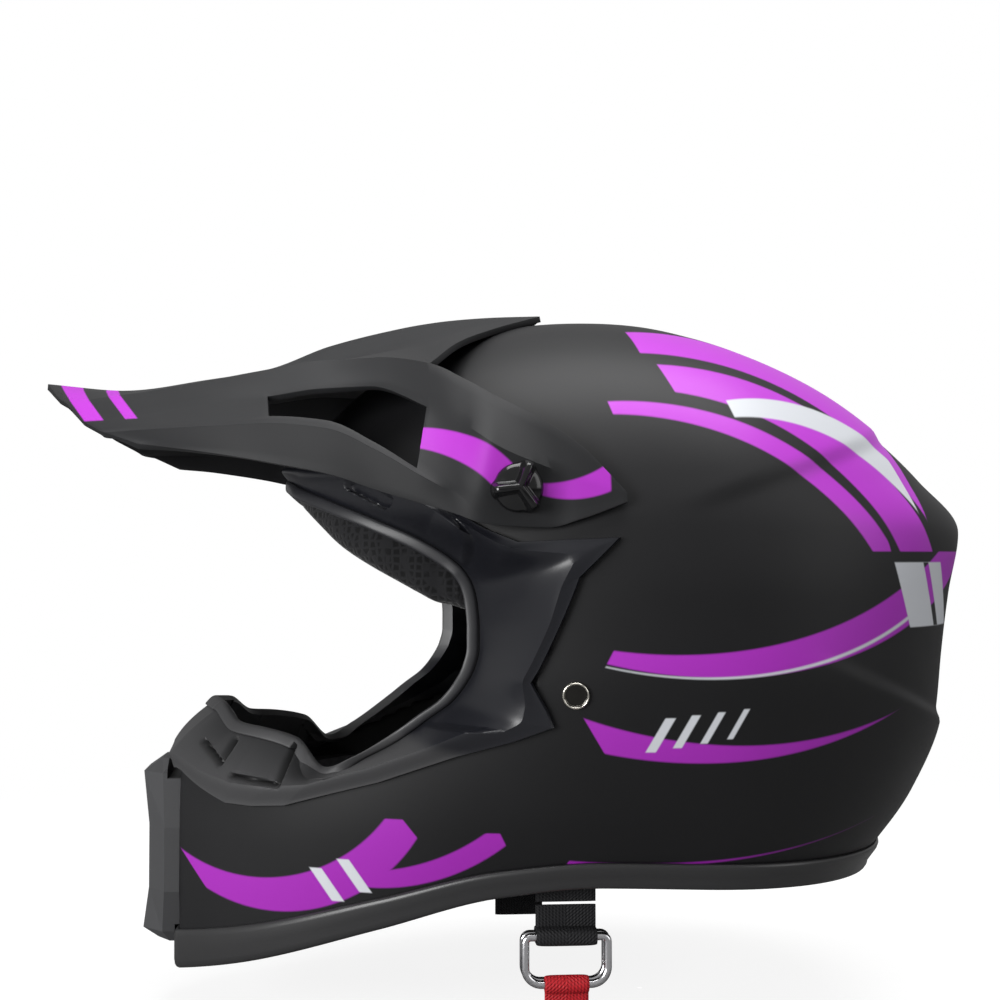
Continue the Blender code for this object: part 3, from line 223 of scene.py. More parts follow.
SEEN_WHITE, MIRRORED_WHITE, PLAIN_WHITE = 0.80, 0.18, 0.20
scene.world = bpy.data.worlds.new("surround")
surround = Surround(scene.world)
mirrored = surround.ray("Is Glossy Ray") + surround.ray("Is Transmission Ray")
white_share = surround.ray("Is Camera Ray") * SEEN_WHITE + (mirrored * MIRRORED_WHITE + PLAIN_WHITE)
backdrop = surround.tree.nodes["Background"]
backdrop.inputs["Color"].default_value = (1.0, 1.0, 1.0, 1.0)
surround.feed(backdrop.inputs["Strength"], white_share)


def softbox(name, place, aim, size, power):
    """Rectangular area light aimed at a point."""
    lamp = bpy.data.lights.new(name, "AREA")
    lamp.shape = "RECTANGLE"
    lamp.size, lamp.size_y = size
    lamp.energy = power
    light = bpy.data.objects.new(name, lamp)
    light.location = place
    light.rotation_euler = (Vector(aim) - Vector(place)).to_track_quat("-Z", "Y").to_euler()
    scene.collection.objects.link(light)


softbox("top_softbox", (0.02, 0.15, 1.25), (0.02, 0.0, 0.0), (1.3, 0.9), 20.0)
softbox("front_softbox", (1.05, 0.85, 0.05), (0.16, 0.0, -0.08), (0.6, 0.7), 17.5)
softbox("rear_softbox", (-1.3, 0.8, 0.55), (0.0, 0.0, 0.0), (0.7, 1.0), 4.0)

CAMERA_LENS = 60.74
CAMERA_PLACE = (0.11875, 0.700, 0.0179)
CAMERA_AIM = (0.0583, 0.0, 0.0417)
camera = bpy.data.objects.new("camera", bpy.data.cameras.new("camera"))
camera.data.lens = CAMERA_LENS
camera.location = CAMERA_PLACE
camera.rotation_euler = (Vector(CAMERA_AIM) - camera.location).to_track_quat("-Z", "Y").to_euler()
scene.collection.objects.link(camera)
scene.camera = camera

# Outer shell: moulded composite with a chin bar, about 4 mm thick, painted matte black with decals under
# the paint's clear coat. The eye port and the mouth are cut through; mouldings cover both cut edges.
SHELL_SECTIONS = np.array((
    (113.8, 28.0, 28.0, 0.0, 28.0, 0.00), (111.2, 57.0, -3.0, 34.0, 26.0, 0.00),
    (105.0, 80.0, -26.0, 58.0, 23.0, 0.00), (96.0, 99.0, -48.5, 77.0, 20.0, 0.00),
    (83.5, 117.5, -71.5, 93.0, 15.0, 0.00), (67.0, 133.5, -93.5, 106.0, 10.0, 0.00),
    (48.0, 145.5, -113.5, 115.0, 6.0, 0.00), (28.0, 156.0, -129.5, 120.5, 3.0, 0.00),
    (4.0, 166.5, -124.5, 123.0, 0.0, 0.00), (-20.0, 178.0, -121.0, 122.5, -2.0, 0.04),
    (-44.0, 192.5, -118.5, 119.0, -4.0, 0.16), (-72.0, 203.0, -108.0, 112.0, -5.0, 0.52),
    (-97.5, 203.0, -89.0, 101.0, -5.0, 1.00)))
LAST_LEVEL = len(SHELL_SECTIONS) - 1
EDGE_LINE = np.array(((-92, -100.5), (-31, -98.5), (30, -97), (66, -101), (109.5, -114.5), (158.5, -131.5),
                      (195, -141.5)))
CHIN_FLAT_X = 186.5
SHELL_WALL = 4.0
ROUND_POWER = 2.1
CHIN_SQUARING, CHIN_FROM_LEVEL, CHIN_OVER_LEVELS = 0.74, 6.0, 5.0
CREASE_HEIGHT, CREASE_BLEND, CREASE_FADE = 2.2, 7.0, 46.0
CREASE_X, CREASE_Z, CREASE_SLOPE = 12.0, 32.0, 0.33
LEDGE_HEIGHT, LEDGE_BLEND, LEDGE_FADE = 2.4, 6.0, 34.0
LEDGE_X, LEDGE_Z, LEDGE_SLOPE, LEDGE_FRONT = -122.0, -46.0, 0.42, -36.0


def smooth_through(knots, values, at, flat_start=False):
    """Monotone cubic through the knots, read at any place."""
    knots = np.asarray(knots, float)
    values = np.asarray(values, float)
    at = np.asarray(at, float)
    step = np.diff(knots)
    slope = np.diff(values) / step
    tangent = np.concatenate((slope[:1], np.zeros(len(slope) - 1), slope[-1:]))
    agree = slope[:-1] * slope[1:] > 0
    pair = np.where(agree, slope[:-1] + slope[1:], 1.0)
    tangent[1:-1] = np.where(agree, 2 * slope[:-1] * slope[1:] / pair, 0.0)
    if flat_start:
        tangent[0] = 0.0
    k = np.clip(np.searchsorted(knots, at, side="right") - 1, 0, len(step) - 1)
    f = (at - knots[k]) / step[k]
    return (values[k] * (1 + 2 * f) * (1 - f) ** 2 + step[k] * tangent[k] * f * (1 - f) ** 2
            + values[k + 1] * f * f * (3 - 2 * f) + step[k] * tangent[k + 1] * f * f * (f - 1))


def ease(value):
    """Smooth step from 0 to 1."""
    value = np.clip(value, 0.0, 1.0)
    return value * value * (3 - 2 * value)


def signed_power(value, power):
    """Power of the size of a value, with the value's sign."""
    return np.sign(value) * np.abs(value) ** power


def unit(ways):
    """Directions of length one."""
    return ways / np.linalg.norm(ways, axis=-1, keepdims=True)


def shell_base(level, angle):
    """Plain shell in mm: at each level a superellipse about the widest station, whose reach, width and
    height are curves over the level; angle runs from the front round the left, and the lower levels
    follow the edge line."""
    level, angle = np.broadcast_arrays(np.asarray(level, float), np.asarray(angle, float))
    knots = np.arange(LAST_LEVEL + 1)
    height = smooth_through(knots, SHELL_SECTIONS[:, 0], level, flat_start=True)
    front, rear, half, widest, drop = (smooth_through(knots, column, level)
                                       for column in SHELL_SECTIONS[:, 1:].T)
    cosine, sine = np.cos(angle), np.sin(angle)
    squared = ease((level - CHIN_FROM_LEVEL) / CHIN_OVER_LEVELS) * (cosine > 0)
    across = ROUND_POWER - CHIN_SQUARING * squared
    reach = np.where(cosine > 0, front - widest, widest - rear)
    x = np.minimum(widest + reach * signed_power(cosine, 2 / ROUND_POWER), CHIN_FLAT_X)
    y = half * signed_power(sine, 2 / across)
    edge = smooth_through(EDGE_LINE[:, 0], EDGE_LINE[:, 1], np.clip(x, *EDGE_LINE[[0, -1], 0]))
    return np.stack((x, y, height + drop * (edge - SHELL_SECTIONS[-1, 0])), axis=-1)


def shell_normal(level, angle):
    """Outward direction of the plain shell."""
    level = np.clip(level, 0.02, LAST_LEVEL - 0.02)
    down = shell_base(level + 0.01, angle) - shell_base(level - 0.01, angle)
    side = shell_base(level, angle + 0.01) - shell_base(level, angle - 0.01)
    return unit(np.cross(down, side))


def shell_relief(point):
    """Height of the upper side crease and of the ledge low on the back."""
    x, z = point[..., 0], point[..., 2]
    above = z - (CREASE_Z - CREASE_SLOPE * (x - CREASE_X))
    crease = ease(above / CREASE_BLEND + 0.5) * np.exp(-(np.maximum(above, 0) / CREASE_FADE) ** 2)
    below = LEDGE_Z - z + LEDGE_SLOPE * (x - LEDGE_X)
    ledge = ease(below / LEDGE_BLEND) * np.exp(-(np.maximum(below, 0) / LEDGE_FADE) ** 2)
    return (CREASE_HEIGHT * crease * ease((CREASE_X - x) / 40.0)
            + LEDGE_HEIGHT * ledge * ease((LEDGE_FRONT - x) / 50.0))


def shell_point(level, angle, depth=0.0):
    """Point at a depth below the shell's outer face, in mm."""
    base = shell_base(level, angle)
    rise = shell_relief(base) - depth
    return base + shell_normal(level, angle) * rise[..., None]


def level_at(angle, height):
    """Level at which the shell reaches a height, found by halving."""
    angle, height = np.broadcast_arrays(np.asarray(angle, float), np.asarray(height, float))
    low, high = np.full(angle.shape, 0.03), np.full(angle.shape, float(LAST_LEVEL))
    for _ in range(36):
        middle = (low + high) / 2
        over = shell_base(middle, angle)[..., 2] > height
        low, high = np.where(over, middle, low), np.where(over, high, middle)
    return (low + high) / 2


def angle_at(x, height):
    """Angle, on the left, at which the shell passes a place seen from the side, found by halving."""
    x, height = np.asarray(x, float), np.asarray(height, float)
    low, high = np.zeros(x.shape), np.full(x.shape, math.pi)
    for _ in range(30):
        middle = (low + high) / 2
        before = shell_base(level_at(middle, height), middle)[..., 0] > x
        low, high = np.where(before, middle, low), np.where(before, high, middle)
    return (low + high) / 2


def within(x, z, outline):
    """Which places lie inside a closed outline, by counting crossings."""
    inside = np.zeros(x.shape, bool)
    for (xa, za), (xb, zb) in zip(outline, np.roll(outline, -1, axis=0)):
        spans = (za > z) != (zb > z)
        inside ^= spans & (x < xa + (z - za) * (xb - xa) / (zb - za if zb != za else 1.0))
    return inside


SHELL_CUT = np.array(((300, 52), (140, 52), (135.5, 50.5), (118, 46.5), (100, 40.5), (87, 34.5), (73.4, 26.3),
                      (62.8, 21.2), (35.7, 20.8), (45.9, 8.2), (50.2, -4.9), (56.2, -19.1), (58.8, -25),
                      (55.9, -33.7), (55.6, -39.8), (68.8, -44.8), (88, -49.9), (111, -58), (135, -66.3),
                      (150, -68.6), (162, -68.6), (174, -65.4), (183, -61), (192, -57.4), (300, -57.4)))
MOUTH_FROM_X, MOUTH_HALF, MOUTH_TOP, MOUTH_FOOT = 170, 18, -78, -121
SKIN_ROWS, SKIN_COLUMNS = 170, 320
skin_levels = np.linspace(0.0, LAST_LEVEL, SKIN_ROWS)
skin_angles = full_turn(SKIN_COLUMNS)
skin = shell_point(skin_levels[:, None], skin_angles[None, :])
skin[0] = skin[0].mean(axis=0)
middles = (skin[:-1] + skin[1:]) / 2
middles = (middles + np.roll(middles, -1, axis=1)) / 2
mouth = ((middles[..., 0] > MOUTH_FROM_X) & (np.abs(middles[..., 1]) < MOUTH_HALF)
         & (middles[..., 2] < MOUTH_TOP) & (middles[..., 2] > MOUTH_FOOT))
shell = grid_piece("shell_skin", skin * 0.001, wrap_columns=True,
                   keep=~within(middles[..., 0], middles[..., 2], SHELL_CUT) & ~mouth)
wall = shell.modifiers.new("wall", "SOLIDIFY")
wall.thickness = SHELL_WALL * 0.001
wall.offset = -1.0

paint = Finish("matte_black_paint", Specular_IOR_Level=0.30)
px, _, pz = paint.axes()


def disc(x, z, centre, radius, blur=0.5):
    """1 inside a circle seen from the side, 0 outside."""
    away = ((x - centre[0]) ** 2.0 + (z - centre[1]) ** 2.0) ** 0.5
    return away.rise(radius + blur, radius - blur)


def crescent(x, z, centre, radius, bite, bite_radius):
    """A circle less another one."""
    return disc(x, z, centre, radius) * (1.0 - disc(x, z, bite, bite_radius))


def bar(x, z, start, lean, width, low, high):
    """Slanted bar between two heights."""
    across = x - start - (z - low) * lean
    blur = 0.4
    sides = across.rise(-blur, blur) * across.rise(width + blur, width - blur)
    return sides * z.rise(low - blur, low + blur) * z.rise(high + blur, high - blur)


ARCS = (((-10, 152), 176, (6, 164), 180, -116, -0.5, 158, -40, 20),
        ((-4, 128), 182, (-20, 134), 182, -106, 0.6, 132, -60, -30),
        ((150, -52), 62, (158, -40), 62, 62, 0.8, 100, -125, -76),
        ((112, -30), 72, (118, -22), 74, 52, 0.5, 66, -110, -80),
        ((4, -26), 131, (14, -34), 128, -98, 0.2, 96, 20, 110),
        ((10, -30), 119, (20, -36), 115, -100, 0.4, 80, 20, 110),
        ((22, -44), 118, (27, -47), 116, -76, 0.3, 88, 20, 110),
        ((20, 240), 332, (16, 246), 337, -64, -0.6, 110, -96, -76))


def arc(x, z, values):
    """A crescent, cut off by a slanted bar."""
    return crescent(x, z, *values[:4]) * bar(x, z, *values[4:])


purple_mask = arc(px, pz, ARCS[0])
for values in ARCS[1:]:
    purple_mask = purple_mask.most(arc(px, pz, values))
silver = arc(px, pz, ((-6, 146), 170.5, (-4.5, 147), 170.8, -74, -0.5, 116, -40, 20))
for k in range(4):
    silver = silver.most(bar(px, pz, 14 - 9 * k, -0.55, 3.6 - 0.5 * k, -50 + 1.5 * k, -38 + 1.0 * k))
silver = silver.most(bar(px, pz, -112, 0.35, 26, -8, 16) * (1.0 - bar(px, pz, -104, 0.35, 3, -8, 16)))
for k in range(2):
    silver = silver.most(bar(px, pz, 112 + 10 * k, 0.7, 4.5, -104 - 4 * k, -92 - 4 * k))
silver = silver.most(arc(px, pz, ((-30, -8), 84, (-24, -16), 84.5, -96, 0.3, 64, 20, 90)))
shade = paint.noise(9.0).rise(0.25, 0.75)
fade = (pz + px * 0.25).rise(-110, 70)
violet = paint.mix(fade, (0.34, 0.020, 0.42, 1.0), (0.50, 0.045, 0.62, 1.0))
black = paint.mix(shade, (0.0060, 0.0060, 0.0068, 1.0), (0.0090, 0.0090, 0.0100, 1.0))
coat = paint.mix(purple_mask, black, violet)
paint.set("Base Color", paint.mix(silver, coat, (0.66, 0.68, 0.72, 1.0)))
paint.set("Roughness", 0.47 + shade * 0.06 - purple_mask.most(silver) * 0.10)
paint.bump(paint.noise(2600.0, 2.0) + shade * 0.2, 0.00003, 0.5)
paint.dress(shell)
bare = Finish("bare_composite", Base_Color=(0.010, 0.010, 0.010, 1.0))
bare.set("Roughness", 0.6 + bare.noise(120.0) * 0.15)
shell.data.materials.append(bare.material)
wall.material_offset = wall.material_offset_rim = 1
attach(shell, "helmet")
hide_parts("outer_shell")


def turned(name, profile, centre, axis, steps=64):
    """Surface of revolution: profile rows of (radius, height) in mm turned about an axis through a point."""
    profile = np.asarray(profile, float)
    turn = full_turn(steps)
    axis = unit(np.asarray(axis, float))
    side = unit(np.cross(axis, (0.0, 0.0, 1.0)))
    round_way = np.cross(axis, side)
    ring = np.cos(turn)[:, None] * side + np.sin(turn)[:, None] * round_way
    points = np.asarray(centre) + profile[:, 0, None, None] * ring + profile[:, 1, None, None] * axis
    return grid_piece(name, points * 0.001, wrap_columns=True)


EAR_STAND = 9.5
BOSS_PROFILE = ((4.9, 0.0), (9.2, 0.0), (9.5, -0.3), (9.5, -12.0), (4.9, -12.0), (4.9, 0.0))
BOSS_BELOW_EAR = 4.5
pivot = np.array((62.0, 0.0, 42.0))
pivot_angle = angle_at(pivot[0], pivot[2])
pivot_y = float(shell_base(level_at(pivot_angle, pivot[2]), pivot_angle)[1])
ear_y = pivot_y + EAR_STAND
for label, side in (("left", 1), ("right", -1)):
    boss = turned("pivot_boss_" + label, BOSS_PROFILE,
                  (pivot[0], side * (ear_y - BOSS_BELOW_EAR), pivot[2]), (0, side, 0))
    paint.dress(boss)
    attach(boss, "helmet")

# Foam liners: moulded grey bead foam between shell and lining, and a strip inside the chin bar,
# both glued to the shell's inner face.
foam = Finish("bead_foam", Roughness=0.85)
beads = foam.node("ShaderNodeTexVoronoi", None, {"Vector": foam.place, "Scale": 300.0})
foam.set("Base Color", foam.mix(beads.rise(0.1, 0.8), (0.075, 0.075, 0.08, 1.0), (0.045, 0.045, 0.05, 1.0)))
foam.bump(1.0 - beads, 0.0004, 0.6)
foam.dress(nodes["eps_liner"], nodes["chin_bar_liner"])

# Lining, cheek pads and neck roll: foam pads in black spacer mesh, sewn in channels and held by press studs.
# Their covers are drawn tight by the foam, so they swell between the seams.
fabric = Finish("lining_mesh", Roughness=0.88, Specular_IOR_Level=0.2, Sheen_Weight=0.25)
cells = fabric.node("ShaderNodeTexVoronoi", {"feature": "DISTANCE_TO_EDGE"},
                    {"Vector": fabric.place, "Scale": 360.0, "Randomness": 0.35})
pores = cells.rise(0.06, 0.28)
fabric.set("Base Color", fabric.mix(pores, (0.0125, 0.0125, 0.014, 1.0), (0.003, 0.003, 0.0035, 1.0)))
fabric.bump(1.0 - pores, 0.0003, 0.6)


PAD_GRID = 0.0045
PAD_PRESSURE = 4.0
PAD_FRAMES = 20
SEAM_DEPTH = 1.8
LINING_SEAM_X, LINING_SEAM_HALF, LINING_SEAM_TOP = 5.0, 3.0, 95.0
CHEEK_SEAMS, CHEEK_SEAM_HALF = (-50.0, -66.0), 2.6
NECK_SEAM_Z, NECK_SEAM_HALF, NECK_SEAM_DEPTH = -69.0, 2.0, 1.2


def points_of(mesh):
    """Points and point normals of a mesh."""
    points = np.empty(len(mesh.vertices) * 3)
    normals = np.empty(len(mesh.vertices) * 3)
    mesh.vertices.foreach_get("co", points)
    mesh.vertex_normals.foreach_get("vector", normals)
    return points.reshape(-1, 3), normals.reshape(-1, 3)


def pad_cover(node, cap, shrink, channel):
    """Cover of one pad: the foam's form remeshed in even quads, blown tight by a short cloth run, then
    drawn in along its sewn channels by a depth that falls off with the distance from each seam."""
    source = nodes[node]
    mesh = source.data.copy()
    mesh.transform(source.matrix_world)
    mesh.materials.clear()
    weld(mesh)
    cover = bpy.data.objects.new(node + "_cover", mesh)
    scene.collection.objects.link(cover)
    remesh = cover.modifiers.new("even", "REMESH")
    remesh.mode = "VOXEL"
    remesh.voxel_size = PAD_GRID
    settle(cover)
    start, normals = points_of(cover.data)
    start = start - normals * shrink
    cover.data.vertices.foreach_set("co", start.ravel())
    cloth = cover.modifiers.new("filling", "CLOTH")
    cloth.settings.quality = 4
    cloth.settings.use_pressure = True
    cloth.settings.uniform_pressure_force = PAD_PRESSURE
    cloth.settings.effector_weights.gravity = 0.0
    cloth.point_cache.frame_start = 1
    cloth.point_cache.frame_end = PAD_FRAMES
    for tick in range(1, PAD_FRAMES + 1):
        scene.frame_set(tick)
    blown = cover.evaluated_get(bpy.context.evaluated_depsgraph_get()).to_mesh()
    moved = np.empty(start.size)
    blown.vertices.foreach_get("co", moved)
    shift = moved.reshape(-1, 3) - start
    length = np.linalg.norm(shift, axis=1, keepdims=True)
    shift = shift * np.minimum(1.0, cap / np.maximum(length, 1e-9))
    cover.modifiers.remove(cloth)
    scene.frame_set(1)
    cover.data.vertices.foreach_set("co", (start + shift).ravel())
    finer = cover.modifiers.new("finer", "SUBSURF")
    finer.levels = finer.render_levels = 1
    settle(cover)
    place, normals = points_of(cover.data)
    place = place - normals * channel(place * 1000.0, normals)[:, None] * 0.001
    cover.data.vertices.foreach_set("co", place.ravel())
    cover.data.shade_smooth()
    fabric.dress(cover)
    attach(cover, "helmet")
    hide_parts(node)


def settle(piece):
    """Write a piece's modifiers into its mesh."""
    made = bpy.data.meshes.new_from_object(piece.evaluated_get(bpy.context.evaluated_depsgraph_get()))
    piece.modifiers.clear()
    piece.data = made


def lining_seams(place, normal):
    """Depth of the channels that run down from the crown, on the inner face only."""
    ahead = place[:, 0] - LINING_SEAM_X
    turn = np.arctan2(place[:, 1], ahead)
    across = np.abs(np.sin(turn * 3.0)) * np.hypot(place[:, 1], ahead) / 3.0
    centre = place - np.array((10.0, 0.0, 10.0))
    inner = (normal * centre).sum(axis=1) < 0
    seam = np.exp(-(across / LINING_SEAM_HALF) ** 2)
    return SEAM_DEPTH * seam * inner * ease((LINING_SEAM_TOP - place[:, 2]) / 20.0)


def cheek_seams(place, normal):
    """Depth of two level channels on the pad's face."""
    face = np.sign(place[:, 1]) * normal[:, 1] < 0
    upper, lower = (np.exp(-((place[:, 2] - height) / CHEEK_SEAM_HALF) ** 2) for height in CHEEK_SEAMS)
    return SEAM_DEPTH * face * (upper + lower)


def neck_seams(place, normal):
    """Depth of the seam along the top of the roll."""
    seam = np.exp(-((place[:, 2] - NECK_SEAM_Z) / NECK_SEAM_HALF) ** 2)
    return NECK_SEAM_DEPTH * seam * (normal[:, 2] > 0.3)


pad_cover("comfort_liner", 0.0018, 0.0012, lining_seams)
pad_cover("cheek_pad_left", 0.0022, 0.0012, cheek_seams)
pad_cover("cheek_pad_right", 0.0022, 0.0012, cheek_seams)
pad_cover("neck_roll", 0.0012, 0.0008, neck_seams)

# Eye port moulding: one soft black moulding bonded over the cut edge of the shell, with a brow strip, a sunk
# side panel for the goggle strap, a raised grey lip and a padded nose guard.
TRIM_EDGE = np.array(((135.5, 54.5), (118, 51.5), (100, 45), (86, 36), (72, 27.5), (61, 23), (26.5, 24.5),
                      (40.5, 11), (46.5, -4), (54, -20.5), (57, -25.5), (51.5, -35), (49, -41), (62, -46),
                      (82, -52), (109, -62.5), (143, -73.5), (155.5, -75), (165.5, -75), (175, -71),
                      (184, -65.5)))
PORT_CUT = np.array(((135.5, 49.5), (118, 45.5), (100, 39.5), (88, 33), (76, 24), (67, 17), (57, 12), (54, 4),
                     (55, -6), (59.5, -17), (63, -24), (66, -30.5), (71, -37), (79, -43), (92, -49),
                     (111.5, -57), (133, -64.5), (149, -67), (161.5, -67), (174, -64), (183, -60)))
TRIM_LIP = np.array(((145.5, 0, 44), (141.5, 40, 40.5), (127.5, 62, 34), (111, 75, 27), (95, 81, 19.5),
                     (86, 83, 14), (82, 84, 10.5), (79.5, 84, 6), (78, 84, -1), (77.5, 84, -8),
                     (77.5, 84, -15), (79, 84, -21.5), (82.5, 84, -28), (87.5, 83, -34), (95, 81, -39.5),
                     (103.5, 78, -46), (118.5, 68, -56), (129.5, 58, -61), (140, 47, -51), (152, 39, -48),
                     (162.5, 29, -46.5), (169.5, 15, -40), (174.5, 0, -38.5)))
NOSE_SLITS = (((177, -54), (169.7, -60.6)), ((169.7, -60.6), (164.7, -53)), ((164.8, -64.4), (148, -66)),
              ((147, -66), (141.6, -54)))
BROW_SLOT = ((119.5, 45.0), (108.0, 38.5))
SLIT_DEPTH = 3.0
SLOT_DEPTH, SLOT_HALF = 3.2, 3.2
MOULDING_STEPS = 24
PANEL_FROM, PANEL_FROM_LEAN, PANEL_FROM_STEP = 3.9, 1.7, 0.26
PANEL_TO, PANEL_TO_LEAN, PANEL_TO_STEP = 13.2, 1.0, 0.28
FLANGE_RISE, FLANGE_SWELL = 2.8, 2.2
LIP_WIDTH, LIP_STAND, LIP_ROLL = 4.6, 1.0, 1.5
STRIP_BULGE = 3.0
SCOOP_SMOOTHING = 50


def carried(line, station):
    """A listed line in space, read smoothly at any station."""
    listed = np.arange(len(line))
    return np.stack([smooth_through(listed, line[:, k], station) for k in range(3)], axis=1)


def moulding_half(steps):
    """Half of the moulding, from brow centre to nose centre: at each station a section that leaves the
    shell with a rounded flange, crosses to the lip on a curve that bulges on the strips and sinks on the
    panel, rolls over the raised lip and returns behind it."""
    listed = np.arange(len(TRIM_LIP))
    station = np.linspace(0, len(TRIM_LIP) - 1, (len(TRIM_LIP) - 1) * steps + 1)
    rows = []
    for line, brow, nose in ((TRIM_EDGE, 57.0, -61.0), (PORT_CUT, 51.0, -56.5)):
        turn = np.concatenate(((0.0,), angle_at(line[:, 0], line[:, 1]), (0.0,)))
        height = np.concatenate(((brow,), line[:, 1], (nose,)))
        rows.append([np.interp(station, listed, values) for values in (turn, height)])
    (edge_turn, edge_z), (cut_turn, cut_z) = rows
    lip = carried(TRIM_LIP, station)

    def panel(along):
        """1 on the sunk panel and 0 on the strips, with a leaning step at each end."""
        begun = (station[:, None] - (PANEL_FROM + PANEL_FROM_LEAN * along)) / PANEL_FROM_STEP
        ended = (station[:, None] - (PANEL_TO + PANEL_TO_LEAN * along)) / PANEL_TO_STEP
        return np.clip(begun, 0, 1) * (1 - np.clip(ended, 0, 1))

    share = np.concatenate(((0.0, 0.0), np.linspace(0.03, 1.0, 14)))
    turn = edge_turn[:, None] + (cut_turn - edge_turn)[:, None] * share
    level = level_at(turn, edge_z[:, None] + (cut_z - edge_z)[:, None] * share)
    surface = shell_point(level, turn)
    normal = shell_normal(level, turn)
    rise = FLANGE_RISE + FLANGE_SWELL * ease(share) + 0.0 * turn
    rise[:, 0] = 0.2
    rise[:, 1] = 2.0
    over = surface + normal * rise[..., None]
    start, tilt = over[:, -1:], normal[:, -1:]
    target = lip[:, None]
    gap = unit((surface[:, -1:] - target) * np.array((1.0, 0.0, 1.0)))
    ahead = np.array((1.0, 0.0, 0.0))
    lip_outer = target + gap * LIP_WIDTH + tilt * LIP_STAND
    t = np.linspace(0, 1, 20)[1:-1, None]
    middle = (start + lip_outer) / 2 + tilt * STRIP_BULGE
    slope = start * (1 - t) ** 2 + 2 * middle * t * (1 - t) + lip_outer * t ** 2
    strip = np.concatenate((over, slope), axis=1)
    along = np.concatenate((share * 0.45, 0.45 + 0.55 * t[:, 0]))
    flange = 8
    s = ((along - along[flange]) / (1 - along[flange]))[flange + 1:, None]
    wing, bend = over[:, flange:flange + 1], surface[:, -1:] + tilt * 0.5
    scoop = wing * (1 - s) ** 2 + 2 * bend * s * (1 - s) + lip_outer * s ** 2
    scoop = np.concatenate((over[:, :flange + 1], scoop), axis=1)
    pull = (0.5 * ease((along - 0.12) / 0.15) * ease((1 - along) / 0.15))[:, None]
    for _ in range(SCOOP_SMOOTHING):
        scoop[1:-1] += pull * (scoop[:-2] + scoop[2:] - 2 * scoop[1:-1]) / 2
    sunk = panel(along)[..., None]
    slope = strip * (1 - sunk) + scoop * sunk
    roll = np.linspace(0, math.pi, 13)[:, None]
    squared = signed_power(np.cos(roll), 0.6)
    rim = ((lip_outer + target) / 2 + (lip_outer - target) / 2 * squared
           + (tilt * 0.9 + ahead * 0.3) * LIP_ROLL * np.sin(roll) ** 0.6)
    behind = target + gap * 2.5 - ahead * 1.0 - tilt * 2.5
    back = surface[:, -1:] - tilt * 6.0 - gap * 1.4
    section = np.concatenate((slope, rim, behind, back), axis=1)
    grey = np.zeros(section.shape[1])
    grey[len(along):-2] = 1.0
    matt = np.broadcast_to(ease((station - 14.6) / 0.6)[:, None], section.shape[:2])

    def away_from(a, b):
        """Distance, seen from the side, from the line between two places."""
        way = np.array(b, float) - np.array(a, float)
        offset = section[..., ::2] - np.array(a, float)
        share = np.clip((offset @ way) / (way @ way), 0, 1)
        return np.linalg.norm(offset - share[..., None] * way, axis=-1)

    slit = np.minimum.reduce([away_from(a, b) for a, b in NOSE_SLITS])
    on_brow = (station[:, None] < 5) * (station[:, None] > 1)
    depth = (SLIT_DEPTH * np.exp(-(slit / 0.8) ** 2)
             + SLOT_DEPTH * ease((SLOT_HALF - away_from(*BROW_SLOT)) / 1.4) * on_brow)
    section = section - tilt * depth[..., None]
    section[[0, -1], :, 1] = 0.0
    # Share of painted shade along the nose slits: near them the base colour is darkened almost to black,
    # standing in for the shade inside the cuts.
    cut = np.exp(-(slit / 0.9) ** 2)
    return section, np.broadcast_to(grey, section.shape[:2]), matt, cut


half, grey, matt, cut = moulding_half(MOULDING_STEPS)
loop = np.concatenate((half, half[-2:0:-1] * np.array((1.0, -1.0, 1.0))))
trim = grid_piece("eyeport_moulding", loop * 0.001, wrap_rows=True, wrap_columns=True, merge=False)
for name, values in (("lip_grey", grey), ("nose_matt", matt), ("slit_painted_shade", cut)):
    layer = trim.data.attributes.new(name, "FLOAT", "POINT")
    layer.data.foreach_set("value", np.concatenate((values, values[-2:0:-1])).astype(np.float32).ravel())
weld(trim.data)
trim.data.set_sharp_from_angle(angle=math.radians(26))
rubber = Finish("black_rubber")
lip_share = rubber.node("ShaderNodeAttribute", {"attribute_name": "lip_grey"}, None, "Fac")
nose_share = rubber.node("ShaderNodeAttribute", {"attribute_name": "nose_matt"}, None, "Fac")
slit_shade_share = rubber.node("ShaderNodeAttribute", {"attribute_name": "slit_painted_shade"}, None, "Fac")
pale_share = nose_share.most(lip_share * 0.3)
# The black rubber's blue tint is a painted reflection: it stands in for the bluish sheen on the moulding's
# glossy faces.
moulded = rubber.mix(pale_share, (0.0075, 0.0080, 0.0115, 1.0), (0.044, 0.044, 0.046, 1.0))
# Painted shade: the base colour goes almost black along the nose slits.
rubber.set("Base Color", rubber.mix(slit_shade_share, moulded, (0.002, 0.002, 0.002, 1.0)))
rubber.set("Roughness", 0.33 + pale_share * 0.20 + rubber.noise(60.0) * 0.05)
rubber.bump(rubber.noise(2200.0, 2.0), 0.00003, 0.4)
rubber.dress(trim)
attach(trim, "helmet")
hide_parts("eyeport_trim")

# Brow pad: the lining's padded front edge, which hangs below the brow strip from temple to temple,
# in the same spacer mesh as the lining and sewn to it.
BROW_HANG = np.array((1.0, 4.0, 12.0, 15.0, 16.0, 13.0, 11.0, 8.0, 4.0))
BROW_REACH = 8.0
BROW_INSET, BROW_LAP = 7.5, 1.5
BROW_HALF_THICK, BROW_ROUND, BROW_QUILT = 5.0, 2.5, 0.05


